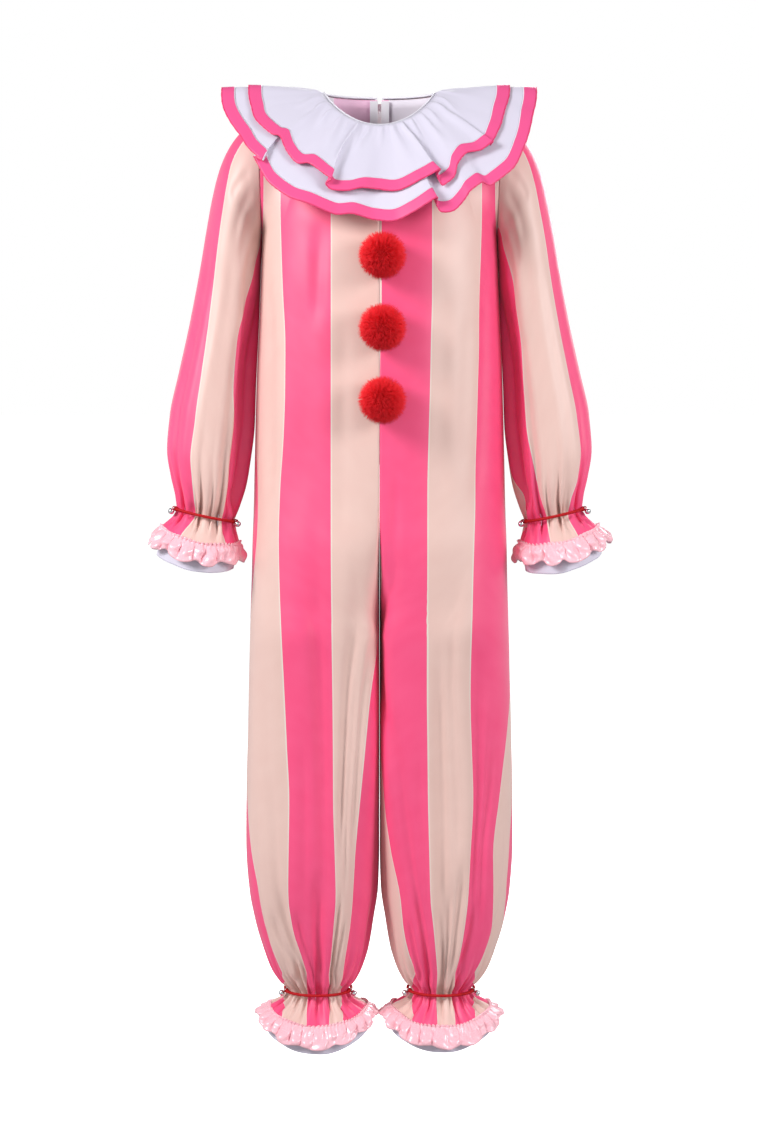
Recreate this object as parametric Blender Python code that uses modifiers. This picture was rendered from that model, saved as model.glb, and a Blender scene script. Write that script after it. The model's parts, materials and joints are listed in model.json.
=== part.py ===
"""Clown jumpsuit in wide stripes, filled out as it is when worn, modelled as the pieces it is sewn from.

The origin is the middle of the neck opening, where the garment hangs from the shoulders. +Z is up and
the garment faces -Y, so the wearer's left is at +X. Sizes below are in millimetres. Each panel is an
open sheet through level sections or rings, thickened inwards, and each piece is its own closed solid.
"""

import math
from collections import namedtuple

import bpy
import numpy as np
from mathutils import Matrix, Vector

MM = 0.001

# ---- cloth and seams
CLOTH = 1.2  # wall of every panel, band and ruffle
SEAM = 0.35  # from a seam's plane to each of the two edges that it joins
LAYER = 0.6  # clear space between a panel and what lies on it
FRONT, BACK = -1, 1  # the sign of y on each face of the garment
LEFT, RIGHT = 1, -1  # the wearer's sides, the sign of x

# ---- neck, shoulder and armhole
NECK_HALF_WIDTH = 80.0
NECK_HALF_DEPTH = 62.0
NECK_SIDE_Z = -7.5
NECK_SCOOP = 52.0  # how far the neckline drops from the shoulder to the centre front
SCOOP_POWER = 1.6
SHOULDER_TIP_Z = -42.0
ARMHOLE_X = 168.0
ARMHOLE_HALF_DEPTH = 62.0
ARMPIT_Z = -205.0
ZIP_END_Z = -540.0  # below it the back's centre edges are sewn together
ARMHOLE_FADE = 3  # how fast the armhole's curve fades into the yoke: a power
SHOULDER_SEAM = 1.0  # the shoulder seam's edges stand further from its plane, as the walls lean together
YOKE_ROWS = 5  # rows between the neck and shoulder line and the armpit
NECK_SHARE = 0.6  # share of a panel's columns that end on the neckline, the rest on the shoulder

# ---- body and legs: one row for each level of a half body
# outer, inner: x of the outseam and of the centre or inseam; front, back: half depths
# split: 0 where the section is half a torso, 1 where it is a whole leg
# fold: depth of the troughs between folds; drop: how far the front and back hang below the sides
Level = namedtuple("Level", "z outer inner front back split fold drop")
BODY_LEVELS = [
    Level(ARMPIT_Z, 168.0, 0.0, 117, 111, 0.00, 0, 0),
    Level(-300, 168.0, 0.0, 126, 112, 0.00, 0, 0),
    Level(-420, 174.5, 0.0, 127, 110, 0.00, 0, 0),
    Level(ZIP_END_Z, 179.5, 0.0, 125, 112, 0.00, 0, 0),
    Level(ZIP_END_Z - 8, 179.8, 0.0, 125, 112, 0.00, 0, 0),
    Level(-600, 182.0, 0.0, 127, 118, 0.03, 0, 0),
    Level(-652, 184.0, 0.6, 133, 130, 0.15, 0, 0),
    Level(-698, 185.0, 1.2, 134, 136, 0.36, 0, 0),
    Level(-738, 186.0, 2.0, 126, 130, 0.64, 0, 0),
    Level(-776, 187.0, 2.4, 113, 117, 1.00, 0, 0),
    Level(-840, 189.0, 2.4, 108, 111, 1.00, 0, 0),
    Level(-920, 191.5, 2.4, 101, 105, 1.00, 0, 0),
    Level(-1010, 194.0, 2.4, 96, 99, 1.00, 1, 0),
    Level(-1090, 195.0, 2.4, 94, 96, 1.00, 2, 0),
    Level(-1150, 191.5, 2.6, 90, 92, 1.00, 3, 0),
    Level(-1200, 182.0, 9.0, 83, 85, 1.00, 4, 0),
    Level(-1240, 170.5, 15.0, 74, 75, 1.00, 5, 0),
    Level(-1270, 159.5, 24.0, 63, 64, 1.00, 6, 0),
]
ANKLE_LEVELS = [
    Level(-1291, 146.0, 35.0, 52, 53, 1.00, 4, 0),
    Level(-1303, 135.5, 44.5, 43, 43, 1.00, 5, 1),
    Level(-1312, 140.0, 41.0, 47, 47, 1.00, 5, 4),
    Level(-1328, 163.0, 17.0, 68, 68, 1.00, 3, 19),
]
ANKLE_TIE = 1  # the row of ANKLE_LEVELS that the cord holds in
ANKLE_BAND = [
    Level(-1329.6, 161.5, 18.5, 66.5, 66.5, 1.00, 0, 19.2),
    Level(-1349, 168.0, 12.0, 75, 75, 1.00, 0, 28),
]
ANKLE_RUFFLE = [
    Level(-1326.4, 166.3, 13.7, 71.3, 71.3, 1.00, 2, 19),
    Level(-1341, 180.5, 2.6, 87, 87, 1.00, 8, 31),
]
BODY_COLUMNS = 10
BODY_SQUARENESS = 2.3  # exponents of the rounded sections: 2 would be an ellipse
LEG_SQUARENESS = 2.25

# ---- sleeves: one row for each ring
# in_x, in_z and out_x, out_z: the ring's points nearest to and furthest from the body
# depth: half of its size along y; forward: how far the arm has come forward
Ring = namedtuple("Ring", "in_x in_z out_x out_z depth forward fold drop")
SLEEVE_RINGS = [
    Ring(169.0, ARMPIT_Z - 0.8, 169.0, SHOULDER_TIP_Z + 0.2, 62, 0, 0, 0),
    Ring(171.0, -214, 197, -60, 64, 0, 0, 0),
    Ring(172.5, -223, 217, -86, 65, 0, 0, 0),
    Ring(173.5, -236, 230, -116, 65, 1, 0, 0),
    Ring(174.0, -254, 240, -155, 64, 1, 0, 0),
    Ring(174.5, -280, 249, -204, 63, 2, 0, 0),
    Ring(175.0, -318, 258, -258, 62, 3, 0, 0),
    Ring(176.0, -370, 272, -328, 63, 5, 0, 0),
    Ring(178.5, -426, 289, -402, 65, 8, 1, 0),
    Ring(182.5, -480, 303, -462, 66, 11, 2, 0),
    Ring(187.0, -530, 308, -514, 65, 14, 4, 0),
    Ring(192.5, -566, 303, -550, 60, 16, 5, 0),
]
WRIST_RINGS = [
    Ring(201.0, -598, 295, -580, 48, 18, 4, 0),
    Ring(208.0, -617, 293, -597, 37, 19, 5, 1),
    Ring(206.5, -626, 297, -606, 41, 19, 5, 3),
    Ring(202.5, -650, 314, -625, 54, 20, 3, 10),
]
WRIST_TIE = 1
WRIST_BAND = [
    Ring(204.5, -652.2, 311.5, -627.2, 52, 20, 0, 10.4),
    Ring(208.0, -686, 322, -661, 59, 20, 0, 12),
]
WRIST_RUFFLE = [
    Ring(198.5, -649, 318, -623, 57.5, 20, 2, 10),
    Ring(196.0, -675, 332, -648, 69, 20, 8, 11),
]
SLEEVE_COLUMNS = 16
BAND_COLUMNS = 24
RUFFLE_WAVES = 12
POINTS_PER_WAVE = 4

# ---- collar: two gathered tiers, open at the centre back for the zip
# turn: degrees round from the centre front; slope_in, slope_out: slope at the neck and at the hem,
# in degrees below level; reach: length of the lower tier from neck to hem
CollarLine = namedtuple("CollarLine", "turn slope_in slope_out reach")
COLLAR_LINES = [
    CollarLine(0, 54, 68, 152),
    CollarLine(30, 46, 58, 150),
    CollarLine(60, 22, 38, 147),
    CollarLine(76, 3, 22, 145),
    CollarLine(90, -9, 8, 144),
    CollarLine(105, -7, 16, 144),
    CollarLine(125, 8, 40, 145),
    CollarLine(150, 22, 60, 147),
    CollarLine(180, 30, 70, 148),
]
UPPER_SHARE = 0.72  # the upper tier's reach over the lower tier's
# turn and half_width in degrees; height: how far the fold lifts the hem
CollarFold = namedtuple("CollarFold", "turn height half_width")
LOWER_FOLDS = [
    CollarFold(-158, 10, 13), CollarFold(-130, 12, 13), CollarFold(-105, 9, 12),
    CollarFold(-63, 14, 11), CollarFold(-30, 5, 14), CollarFold(3, 6, 18),
    CollarFold(33, 15, 10), CollarFold(51, 9, 9), CollarFold(79, 4, 11),
    CollarFold(110, 11, 12), CollarFold(134, 12, 13), CollarFold(160, 9, 12),
]
UPPER_FOLDS = [
    CollarFold(-166, 7, 11), CollarFold(-142, 9, 12), CollarFold(-112, 8, 12),
    CollarFold(-74, 4, 10), CollarFold(-52, 6, 10), CollarFold(-34, 9, 10),
    CollarFold(36, 9, 10), CollarFold(67, 8, 10), CollarFold(103, 5, 11),
    CollarFold(127, 9, 12), CollarFold(151, 8, 12),
]
FOLD_GROWTH = 1.4  # how the folds grow from the neck to the hem: a power
COLLAR_COLUMNS = 56
COLLAR_STEPS = 8  # steps in which a tier's curve is added up from the neck
COLLAR_MIDDLE = 0.45  # where the row between neck and ribbon lies, over the reach
COLLAR_INSIDE = Vector((0, 0, -600))  # a point below both tiers, on the side that their faces turn from
COLLAR_GAP = 6.5  # from the centre back to each end of a tier
TIER_CLEARANCE = 1.9  # from the lower tier's outer face to the upper tier's, at the neck
TIER_SPREAD = 3.5  # how much further apart they are at the upper hem
LOWER_START = (1.5, 1.8)  # out and up from the neckline
TRIM_WIDTH = 19.0
TRIM_CLOTH = 1.0
BINDING_RADIUS = 2.0
BINDING_PLACE = (-1.4, 2.7)
BINDING_COLUMNS = 28
BINDING_GAP = 3.6

# ---- pompoms
POMPOM_Z = (-244.0, -343.0, -443.0)
POMPOM_X = 4.0
POMPOM_CORE = 23.0
POMPOM_RADIUS = 33.0
POMPOM_STANDOFF = 27.0  # from the front panel to the pompom's middle

# ---- ties and bells
CORD_RADIUS = 2.1
CORD_CLEARANCE = 1.2  # from the gathers' ridges, so that the cord clears the cloth above it
BELL_RADIUS = 4.5
BELL_EYE_RADIUS = 3.25
BELL_EYE_WIRE = 0.55
BELL_DROP = 7.7  # from the cord's middle to the bell's
BELL_TILT = math.radians(27)  # how far below the cord's plane a bell rests

# ---- zip at the centre back
ZIP_TOP_Z = -9.0
ZIP_EDGE = 2.9  # from the centre back to each panel's edge along the zip
TAPE_INNER, TAPE_OUTER = 2.6, 14.0
TAPE_THICKNESS = 1.0
CHAIN_HALF_WIDTH = 2.2
CHAIN_THICKNESS = 1.6
CHAIN_DEPTH = 0.2  # from the panels' outer face to the chain's
SLIDER_SIZE = (8.0, 3.0, 9.5)
SLIDER_Z = -17.0
LUG_WIDTH, LUG_SPACING, LUG_HEIGHT = 1.1, 4.4, 2.6
LUG_REACH = 0.4  # how far the lugs stand out beyond the bar
BAR_RADIUS = 0.65
TAB_EYE_OUTER, TAB_EYE_INNER, TAB_EYE_WIDTH = 1.9, 1.05, 2.6
TAB_WIDTH, TAB_LENGTH, TAB_THICKNESS = 4.6, 23.0, 1.2
SHANK_REACH = 2.5  # how far the tab's narrow part reaches below its eye
OVERLAP = 0.4  # how far joined shapes run into one another
ROUND_SIDES = 12
SHARP_EDGE = math.radians(50)

COLOURS = {
    "pink": (0.92, 0.12, 0.29), "cream": (0.83, 0.64, 0.56), "white": (0.83, 0.80, 0.88),
    "satin": (1.0, 0.47, 0.56), "red": (0.55, 0.01, 0.02), "silver": (0.75, 0.75, 0.77),
    "trim": (0.90, 0.10, 0.27),
}


# ---------------------------------------------------------------- scene and meshes
def clear_scene():
    for item in list(bpy.data.objects):
        bpy.data.objects.remove(item, do_unlink=True)


def new_collection(name):
    made = bpy.data.collections.new(name)
    bpy.context.scene.collection.children.link(made)
    return made


def material(name, roughness, metallic=0.0, sheen=0.0):
    made = bpy.data.materials.new(name)
    made.use_nodes = True
    shader = made.node_tree.nodes["Principled BSDF"]
    shader.inputs["Base Color"].default_value = (*COLOURS[name], 1)
    shader.inputs["Roughness"].default_value = roughness
    shader.inputs["Metallic"].default_value = metallic
    shader.inputs["Sheen Weight"].default_value = sheen
    return made


def add_object(name, mesh, finish):
    made = bpy.data.objects.new(name, mesh)
    GARMENT.objects.link(made)
    made.data.materials.append(finish.copy())
    made.data.materials[0].name = name + "_finish"
    made.data.shade_smooth()
    made.data.set_sharp_from_angle(angle=SHARP_EDGE)
    return made


def faces_between(upper, lower, closed):
    """Faces joining two rows of vertex numbers, where the lower one has as many columns or a multiple."""
    step = len(lower) // len(upper) if closed else (len(lower) - 1) // (len(upper) - 1)
    spans = len(upper) if closed else len(upper) - 1
    made = []
    for i in range(spans):
        below = [lower[(i * step + k) % len(lower)] for k in range(step, -1, -1)]
        made.append([upper[i], upper[(i + 1) % len(upper)]] + below)
    return made


def sheet_mesh(name, rows, closed, axis_of):
    """An open sheet through rows of points, its faces turned away from its axis, which axis_of gives."""
    points, numbers = [], []
    for row in rows:
        numbers.append(list(range(len(points), len(points) + len(row))))
        points += [Vector(p) for p in row]
    faces = []
    for upper, lower in zip(numbers, numbers[1:]):
        faces += faces_between(upper, lower, closed)
    outward = 0.0
    for face in faces:
        a, b, c = points[face[0]], points[face[1]], points[face[-1]]
        outward += (b - a).cross(c - a).dot(a - axis_of(a))
    if outward < 0:
        faces = [face[:1] + face[:0:-1] for face in faces]
    mesh = bpy.data.meshes.new(name)
    mesh.from_pydata([p * MM for p in points], [], faces)
    return mesh


def thicken(piece, thickness=CLOTH):
    wall = piece.modifiers.new("wall", "SOLIDIFY")
    wall.thickness = thickness * MM
    wall.offset = -1
    wall.use_even_offset = True
    return piece


def level_axis(x):
    """The upright line at x that a limb's or the body's faces turn away from."""
    return lambda point: Vector((x, 0, point.z))


def cut_or_join(piece, other, operation):
    """Cuts or joins with a Boolean and removes the other piece."""
    step = piece.modifiers.new(operation.lower(), "BOOLEAN")
    step.object = other
    step.operation = operation
    step.solver = "EXACT"
    evaluated = piece.evaluated_get(bpy.context.evaluated_depsgraph_get())
    mesh = bpy.data.meshes.new_from_object(evaluated)
    piece.modifiers.clear()
    piece.data = mesh
    bpy.data.objects.remove(other, do_unlink=True)


def take_primitive(name, finish):
    """Makes the primitive just added one of the garment's pieces."""
    made = bpy.context.object
    made.name = name
    for owner in list(made.users_collection):
        owner.objects.unlink(made)
    GARMENT.objects.link(made)
    made.data.materials.append(finish)
    made.data.shade_smooth()
    made.data.set_sharp_from_angle(angle=SHARP_EDGE)
    return made


# ---------------------------------------------------------------- neck, shoulder and body panels
def neck_point(turn):
    """A point of the neckline, turn degrees round from the centre front."""
    angle = math.radians(turn)
    scoop = NECK_SCOOP * max(math.cos(angle), 0) ** SCOOP_POWER
    x, y = NECK_HALF_WIDTH * math.sin(angle), -NECK_HALF_DEPTH * math.cos(angle)
    return Vector((x, y, NECK_SIDE_Z - scoop))


def oval(angle, squareness):
    """Sine and cosine of a rounded section's angle."""
    power = 2 / squareness
    return abs(math.sin(angle)) ** power, math.copysign(abs(math.cos(angle)) ** power, math.cos(angle))


def level_point(level, face, across, trough):
    """A point of a half body's section: across is 0 at the centre or inseam and 1 at the outseam."""
    depth = level.front if face == FRONT else level.back
    out, forth = oval(across * math.pi / 2, BODY_SQUARENESS)
    torso = Vector((level.outer * out, face * depth * forth, 0))
    inwards = level.fold * trough
    middle, half = (level.outer + level.inner) / 2, (level.outer - level.inner) / 2 - inwards
    forth, out = oval(across * math.pi, LEG_SQUARENESS)
    leg = Vector((middle - half * out, face * (depth - inwards) * forth, 0))
    point = torso.lerp(leg, level.split)
    point.z = level.z - level.drop * math.sin(across * math.pi) ** 2
    point.x = max(point.x, SEAM)
    if abs(point.y) < SEAM:
        point.y = face * SEAM
    return point


def level_row(level, face, columns):
    """A row of points, every second one in a trough between two folds, and a trough at each seam."""
    return [level_point(level, face, i / columns, 1 - i % 2) for i in range(columns + 1)]


def shoulder_line(face, across):
    """The yoke's upper edge: the neckline and then the shoulder seam out to its tip."""
    side_of_neck = neck_point(90)
    if across < NECK_SHARE:
        turn = 90 * across / NECK_SHARE
        return neck_point(turn if face == FRONT else 180 - turn)
    tip = Vector((ARMHOLE_X, 0, SHOULDER_TIP_Z))
    return side_of_neck.lerp(tip, (across - NECK_SHARE) / (1 - NECK_SHARE))


def armhole_point(face, down):
    """The armhole's edge: down is 0 at the shoulder tip and 1 at the armpit."""
    middle, half = (SHOULDER_TIP_Z + ARMPIT_Z) / 2, (SHOULDER_TIP_Z - ARMPIT_Z) / 2
    angle = math.pi * down
    return Vector((ARMHOLE_X, face * ARMHOLE_HALF_DEPTH * math.sin(angle), middle + half * math.cos(angle)))


def rounded(upper, lower, down):
    """A point between two others that leaves the upper one steeply in y and reaches the lower one upright."""
    point = upper.lerp(lower, down)
    point.y = upper.y + (lower.y - upper.y) * math.sin(math.pi / 2 * down)
    return point


def yoke_point(face, across, down):
    """A blend from the shoulder line down to the armpit's level, shaped to the armhole near its edge."""
    chest = BODY_LEVELS[0]
    point = rounded(shoulder_line(face, across), level_point(chest, face, across, 0), down)
    edge = rounded(shoulder_line(face, 1), level_point(chest, face, 1, 0), down)
    point += (armhole_point(face, down) - edge) * across ** ARMHOLE_FADE
    point.x = max(point.x, SEAM)
    if abs(point.y) < SHOULDER_SEAM:
        point.y = face * SHOULDER_SEAM
    return point


def open_for_zip(point):
    """Moves a back panel's centre edge aside where the zip runs."""
    in_zip = point.z >= ZIP_END_Z
    point.x = max(point.x, ZIP_EDGE if in_zip else SEAM)
    return point


def build_body_panel(side, face):
    name = ("front" if face == FRONT else "back") + ("_left" if side == LEFT else "_right")
    rows = []
    for k in range(YOKE_ROWS):
        rows.append([yoke_point(face, i / BODY_COLUMNS, k / YOKE_ROWS) for i in range(BODY_COLUMNS + 1)])
    rows += [level_row(level, face, BODY_COLUMNS) for level in BODY_LEVELS]
    rows += [level_row(level, face, 2 * BODY_COLUMNS) for level in ANKLE_LEVELS]
    if face == BACK:
        rows = [[open_for_zip(row[0])] + row[1:] for row in rows]
    rows = [[Vector((side * p.x, p.y, p.z)) for p in row] for row in rows]
    mesh = sheet_mesh(name, rows, False, level_axis(side * NECK_HALF_WIDTH))
    return thicken(add_object(name, mesh, PINK))


# ---------------------------------------------------------------- sleeves and limb ends
def ring_point(ring, turn, trough):
    """A point of a sleeve's ring: turn is 0 on the outside of the arm and a quarter turn at the front."""
    inwards = ring.fold * trough
    low, high = Vector((ring.in_x, -ring.forward, ring.in_z)), Vector((ring.out_x, -ring.forward, ring.out_z))
    half = (high - low) / 2
    half *= 1 - inwards / half.length
    sine = math.sin(turn)
    point = (low + high) / 2 + half * math.cos(turn) + Vector((0, -(ring.depth - inwards) * sine, 0))
    point.z -= ring.drop * sine ** 2
    return point


def leg_ring_point(level, turn, trough):
    """A point of a leg's whole section: turn is 0 at the outseam and a quarter turn at the front."""
    face = FRONT if math.sin(turn) >= 0 else BACK
    across = 1 - (turn % (2 * math.pi)) / math.pi
    return level_point(level, face, abs(across), trough)


def limb_points(spec, turn, trough):
    """A point of either kind of ring."""
    return ring_point(spec, turn, trough) if isinstance(spec, Ring) else leg_ring_point(spec, turn, trough)


def wave(position):
    """1 in the trough where the count starts and 0 on the ridge beside it, for a position in folds."""
    return 0.5 + 0.5 * math.cos(2 * math.pi * position)


def ring_row(spec, columns, folds):
    return [limb_points(spec, 2 * math.pi * i / columns, wave(folds * i / columns)) for i in range(columns)]


def tube_axis(rows):
    """The line through the rings' middles, as a function that gives its nearest ring's middle."""
    middles = [sum((Vector(p) for p in row), Vector()) / len(row) for row in rows]
    return lambda point: min(middles, key=lambda m: (m - point).length)


def build_tube(name, rows, side, finish):
    rows = [[Vector((side * p.x, p.y, p.z)) for p in row] for row in rows]
    return thicken(add_object(name, sheet_mesh(name, rows, True, tube_axis(rows)), finish))


def build_sleeve(side, name):
    half = SLEEVE_COLUMNS // 2
    rows = [ring_row(ring, SLEEVE_COLUMNS, half) for ring in SLEEVE_RINGS]
    rows += [ring_row(ring, 2 * SLEEVE_COLUMNS, SLEEVE_COLUMNS) for ring in WRIST_RINGS]
    build_tube(name, rows, side, PINK)


def build_limb_end(side, limb, band, ruffle):
    """The plain hem band below a limb's heading and the gathered ruffle that lies over it."""
    rows = [ring_row(spec, BAND_COLUMNS, RUFFLE_WAVES / 2) for spec in band]
    build_tube(limb + "_hem_band", rows, side, WHITE)
    columns = RUFFLE_WAVES * POINTS_PER_WAVE
    rows = [ring_row(spec, columns, RUFFLE_WAVES) for spec in ruffle]
    build_tube(limb + "_ruffle", rows, side, SATIN)


# ---------------------------------------------------------------- ties and bells
def ridge_turn(number, folds):
    """How far round a limb a gather's ridge stands."""
    return 2 * math.pi * (number + 0.5) / folds


def tie_point(spec, turn, side):
    """A point of the cord's middle line, the way the cord runs there, and the way out from the limb."""
    ridge = limb_points(spec, turn, 0)
    ahead, behind = limb_points(spec, turn + 0.01, 0), limb_points(spec, turn - 0.01, 0)
    along = (ahead - behind).normalized()
    outward = along.cross(Vector((0, 0, 1))).normalized()
    if outward.dot(ridge - limb_points(spec, turn + math.pi, 0)) < 0:
        outward.negate()
    point = ridge + outward * (CORD_CLEARANCE + CORD_RADIUS)
    mirror = Vector((side, 1, 1))
    return point * mirror, along * mirror, outward * mirror


def build_tie(side, limb, spec, folds):
    """The round cord that holds a limb's gathers in, resting on their ridges."""
    route = bpy.data.curves.new(limb + "_tie", "CURVE")
    route.dimensions = "3D"
    route.bevel_depth = CORD_RADIUS * MM
    route.bevel_resolution = 1
    line = route.splines.new("POLY")
    line.points.add(folds - 1)
    line.use_cyclic_u = True
    for i, spot in enumerate(line.points):
        place = tie_point(spec, ridge_turn(i, folds), side)[0]
        spot.co = (*(place * MM), 1)
    made = bpy.data.objects.new(limb + "_tie", route)
    GARMENT.objects.link(made)
    route.materials.append(RED)


def build_bell(side, name, spec, trough, folds):
    """A round bell whose eye is threaded on the cord over a trough, its origin on the cord's middle line."""
    before = tie_point(spec, ridge_turn(trough - 1, folds), side)[0]
    after = tie_point(spec, ridge_turn(trough, folds), side)[0]
    place = (before + after) / 2
    along, outward = tie_point(spec, 2 * math.pi * trough / folds, side)[1:]
    bpy.ops.mesh.primitive_torus_add(
        major_radius=BELL_EYE_RADIUS * MM, minor_radius=BELL_EYE_WIRE * MM,
        major_segments=10, minor_segments=4, rotation=(math.pi / 2, 0, 0))
    bell = take_primitive(name, SILVER)
    bell.data.transform(bell.matrix_world)
    bell.matrix_world = Matrix()
    bpy.ops.mesh.primitive_ico_sphere_add(
        subdivisions=2, radius=BELL_RADIUS * MM, location=(0, 0, -BELL_DROP * MM))
    cut_or_join(bell, bpy.context.object, "UNION")
    upright = along.cross(outward).normalized()
    if upright.z < 0:
        upright.negate()
    hang = outward * math.cos(BELL_TILT) - upright * math.sin(BELL_TILT)
    local_x = along.cross(-hang)
    turned = Matrix((local_x, along, -hang)).transposed().to_4x4()
    bell.matrix_world = Matrix.Translation(place * MM) @ turned


# ---------------------------------------------------------------- collar
def collar_line(turn):
    """The collar's slopes and reach at a turn, read between the rows of its table."""
    turns = [line.turn for line in COLLAR_LINES]
    read = lambda column: float(np.interp(abs(turn), turns, [getattr(c, column) for c in COLLAR_LINES]))
    return read("slope_in"), read("slope_out"), read("reach")


def fold_height(folds, turn):
    """How far the folds lift the cloth at a turn."""
    height = 0.0
    for fold in folds:
        apart = abs(turn - fold.turn) / fold.half_width
        if apart < 1:
            height += fold.height * (0.5 + 0.5 * math.cos(math.pi * apart))
    return height


def collar_point(turn, length, lift):
    """A point of the collar's lower tier, length out from the neck and raised by lift."""
    end_turn = 180 - math.degrees(COLLAR_GAP / NECK_HALF_WIDTH)
    start = neck_point(turn * end_turn / 180)
    heading = math.radians(turn)
    ahead = Vector((math.sin(heading), -math.cos(heading), 0))
    slope_in, slope_out, reach = collar_line(turn)
    point = start + ahead * LOWER_START[0] + Vector((0, 0, LOWER_START[1]))
    for k in range(COLLAR_STEPS):
        share = (k + 0.5) / COLLAR_STEPS * length / reach
        slope = math.radians(slope_in + (slope_out - slope_in) * share)
        point += (ahead * math.cos(slope) - Vector((0, 0, math.sin(slope)))) * (length / COLLAR_STEPS)
    slope = math.radians(slope_in + (slope_out - slope_in) * length / reach)
    facing = ahead * math.sin(slope) + Vector((0, 0, math.cos(slope)))
    return point + facing * lift


def tier_point(upper, turn, length):
    """A point of the lower or the upper tier, raised by its folds, which grow towards the hem."""
    reach = collar_line(turn)[2]
    share = length / reach
    lift = fold_height(LOWER_FOLDS, turn) * share ** FOLD_GROWTH
    if upper:
        share = length / (reach * UPPER_SHARE)
        lift += TIER_CLEARANCE + TIER_SPREAD * share
        lift += fold_height(UPPER_FOLDS, turn) * share ** FOLD_GROWTH
    return collar_point(turn, length, lift)


def tier_rows(upper):
    """Rows round the collar: the neck, the middle, the ribbon's upper edge and the hem."""
    turns = [-180 + 360 * i / COLLAR_COLUMNS for i in range(COLLAR_COLUMNS + 1)]
    reaches = [collar_line(turn)[2] * (UPPER_SHARE if upper else 1) for turn in turns]
    lengths = [(0, COLLAR_MIDDLE * reach, reach - TRIM_WIDTH, reach) for reach in reaches]
    return [[tier_point(upper, turn, length[k]) for turn, length in zip(turns, lengths)] for k in range(4)]


def raised_rows(rows, height):
    """The same rows moved out along the sheet's own normals."""
    made = []
    for k, row in enumerate(rows):
        above, below = rows[max(k - 1, 0)], rows[min(k + 1, len(rows) - 1)]
        moved = []
        for i, point in enumerate(row):
            along = row[min(i + 1, len(row) - 1)] - row[max(i - 1, 0)]
            facing = along.cross(above[i] - below[i]).normalized()
            moved.append(point + facing * (height if facing.z > 0 else -height))
        made.append(moved)
    return made


def build_tier(upper):
    """One gathered tier of the collar, and the ribbon stitched along its hem."""
    inside = lambda point: COLLAR_INSIDE
    name = "collar_upper" if upper else "collar_lower"
    rows = tier_rows(upper)
    thicken(add_object(name, sheet_mesh(name, rows, False, inside), WHITE))
    rows = raised_rows(rows, LAYER + TRIM_CLOTH)[-2:]
    trim = sheet_mesh(name + "_trim", rows, False, inside)
    thicken(add_object(name + "_trim", trim, TRIM), TRIM_CLOTH)


def build_binding():
    """The rolled edge of the neck, open at the centre back."""
    route = bpy.data.curves.new("neck_binding", "CURVE")
    route.dimensions = "3D"
    route.bevel_depth = BINDING_RADIUS * MM
    route.bevel_resolution = 1
    route.use_fill_caps = True
    line = route.splines.new("POLY")
    line.points.add(BINDING_COLUMNS)
    last_turn = 180 - math.degrees(BINDING_GAP / NECK_HALF_WIDTH)
    for i, spot in enumerate(line.points):
        turn = last_turn * (2 * i / BINDING_COLUMNS - 1)
        heading = math.radians(turn)
        ahead = Vector((math.sin(heading), -math.cos(heading), 0))
        place = neck_point(turn) + ahead * BINDING_PLACE[0] + Vector((0, 0, BINDING_PLACE[1]))
        spot.co = (*(place * MM), 1)
    made = bpy.data.objects.new("neck_binding", route)
    GARMENT.objects.link(made)
    route.materials.append(WHITE)


# ---------------------------------------------------------------- pompoms
def front_surface_y(z):
    """y of the front panels' outer face near the centre line."""
    levels = sorted((level.z, level.front) for level in BODY_LEVELS)
    return -float(np.interp(z, [row[0] for row in levels], [row[1] for row in levels]))


def build_pompom(number, z):
    """A ball of tapering locks that stand apart from a common core, pressed flat where it is sewn on."""
    bpy.ops.mesh.primitive_ico_sphere_add(subdivisions=2, radius=POMPOM_CORE * MM)
    ball = take_primitive(f"pompom_{number}", RED)
    cloth = front_surface_y(z)
    mesh = ball.data
    points = [v.co.copy() for v in mesh.vertices]
    faces = []
    for face in mesh.polygons:
        middle = sum((mesh.vertices[i].co for i in face.vertices), Vector()) / 3
        points.append(middle.normalized() * POMPOM_RADIUS * MM)
        tip = len(points) - 1
        a, b, c = face.vertices
        faces += [(a, b, tip), (b, c, tip), (c, a, tip)]
    place = Vector((POMPOM_X, cloth - POMPOM_STANDOFF, z)) * MM
    for point in points:
        seat = front_surface_y(z + point.z / MM) - LAYER
        point.y = min(point.y, seat * MM - place.y)
    locks = bpy.data.meshes.new(ball.name)
    locks.from_pydata(points, [], faces)
    locks.materials.append(RED)
    ball.data = locks
    ball.location = place


# ---------------------------------------------------------------- zip
def back_rows():
    """The back panel's first two points in each of its rows, from the neck to the zip's end."""
    rows = [[yoke_point(BACK, i / BODY_COLUMNS, k / YOKE_ROWS) for i in (0, 1)] for k in range(YOKE_ROWS)]
    rows += [level_row(level, BACK, BODY_COLUMNS)[:2] for level in BODY_LEVELS if level.z >= ZIP_END_Z]
    return [[open_for_zip(row[0]), row[1]] for row in rows]


def back_slope(z):
    """How the back leans at the centre line near a height: radians from upright."""
    points = [row[0] for row in back_rows()]
    for above, below in zip(points, points[1:]):
        if below.z <= z:
            break
    return math.atan2(below.y - above.y, above.z - below.z)


def back_line_y(z):
    """y of the back panels' outer face beside the zip."""
    points = sorted((row[0].z, row[0].y) for row in back_rows())
    return float(np.interp(z, [p[0] for p in points], [p[1] for p in points]))


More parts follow.
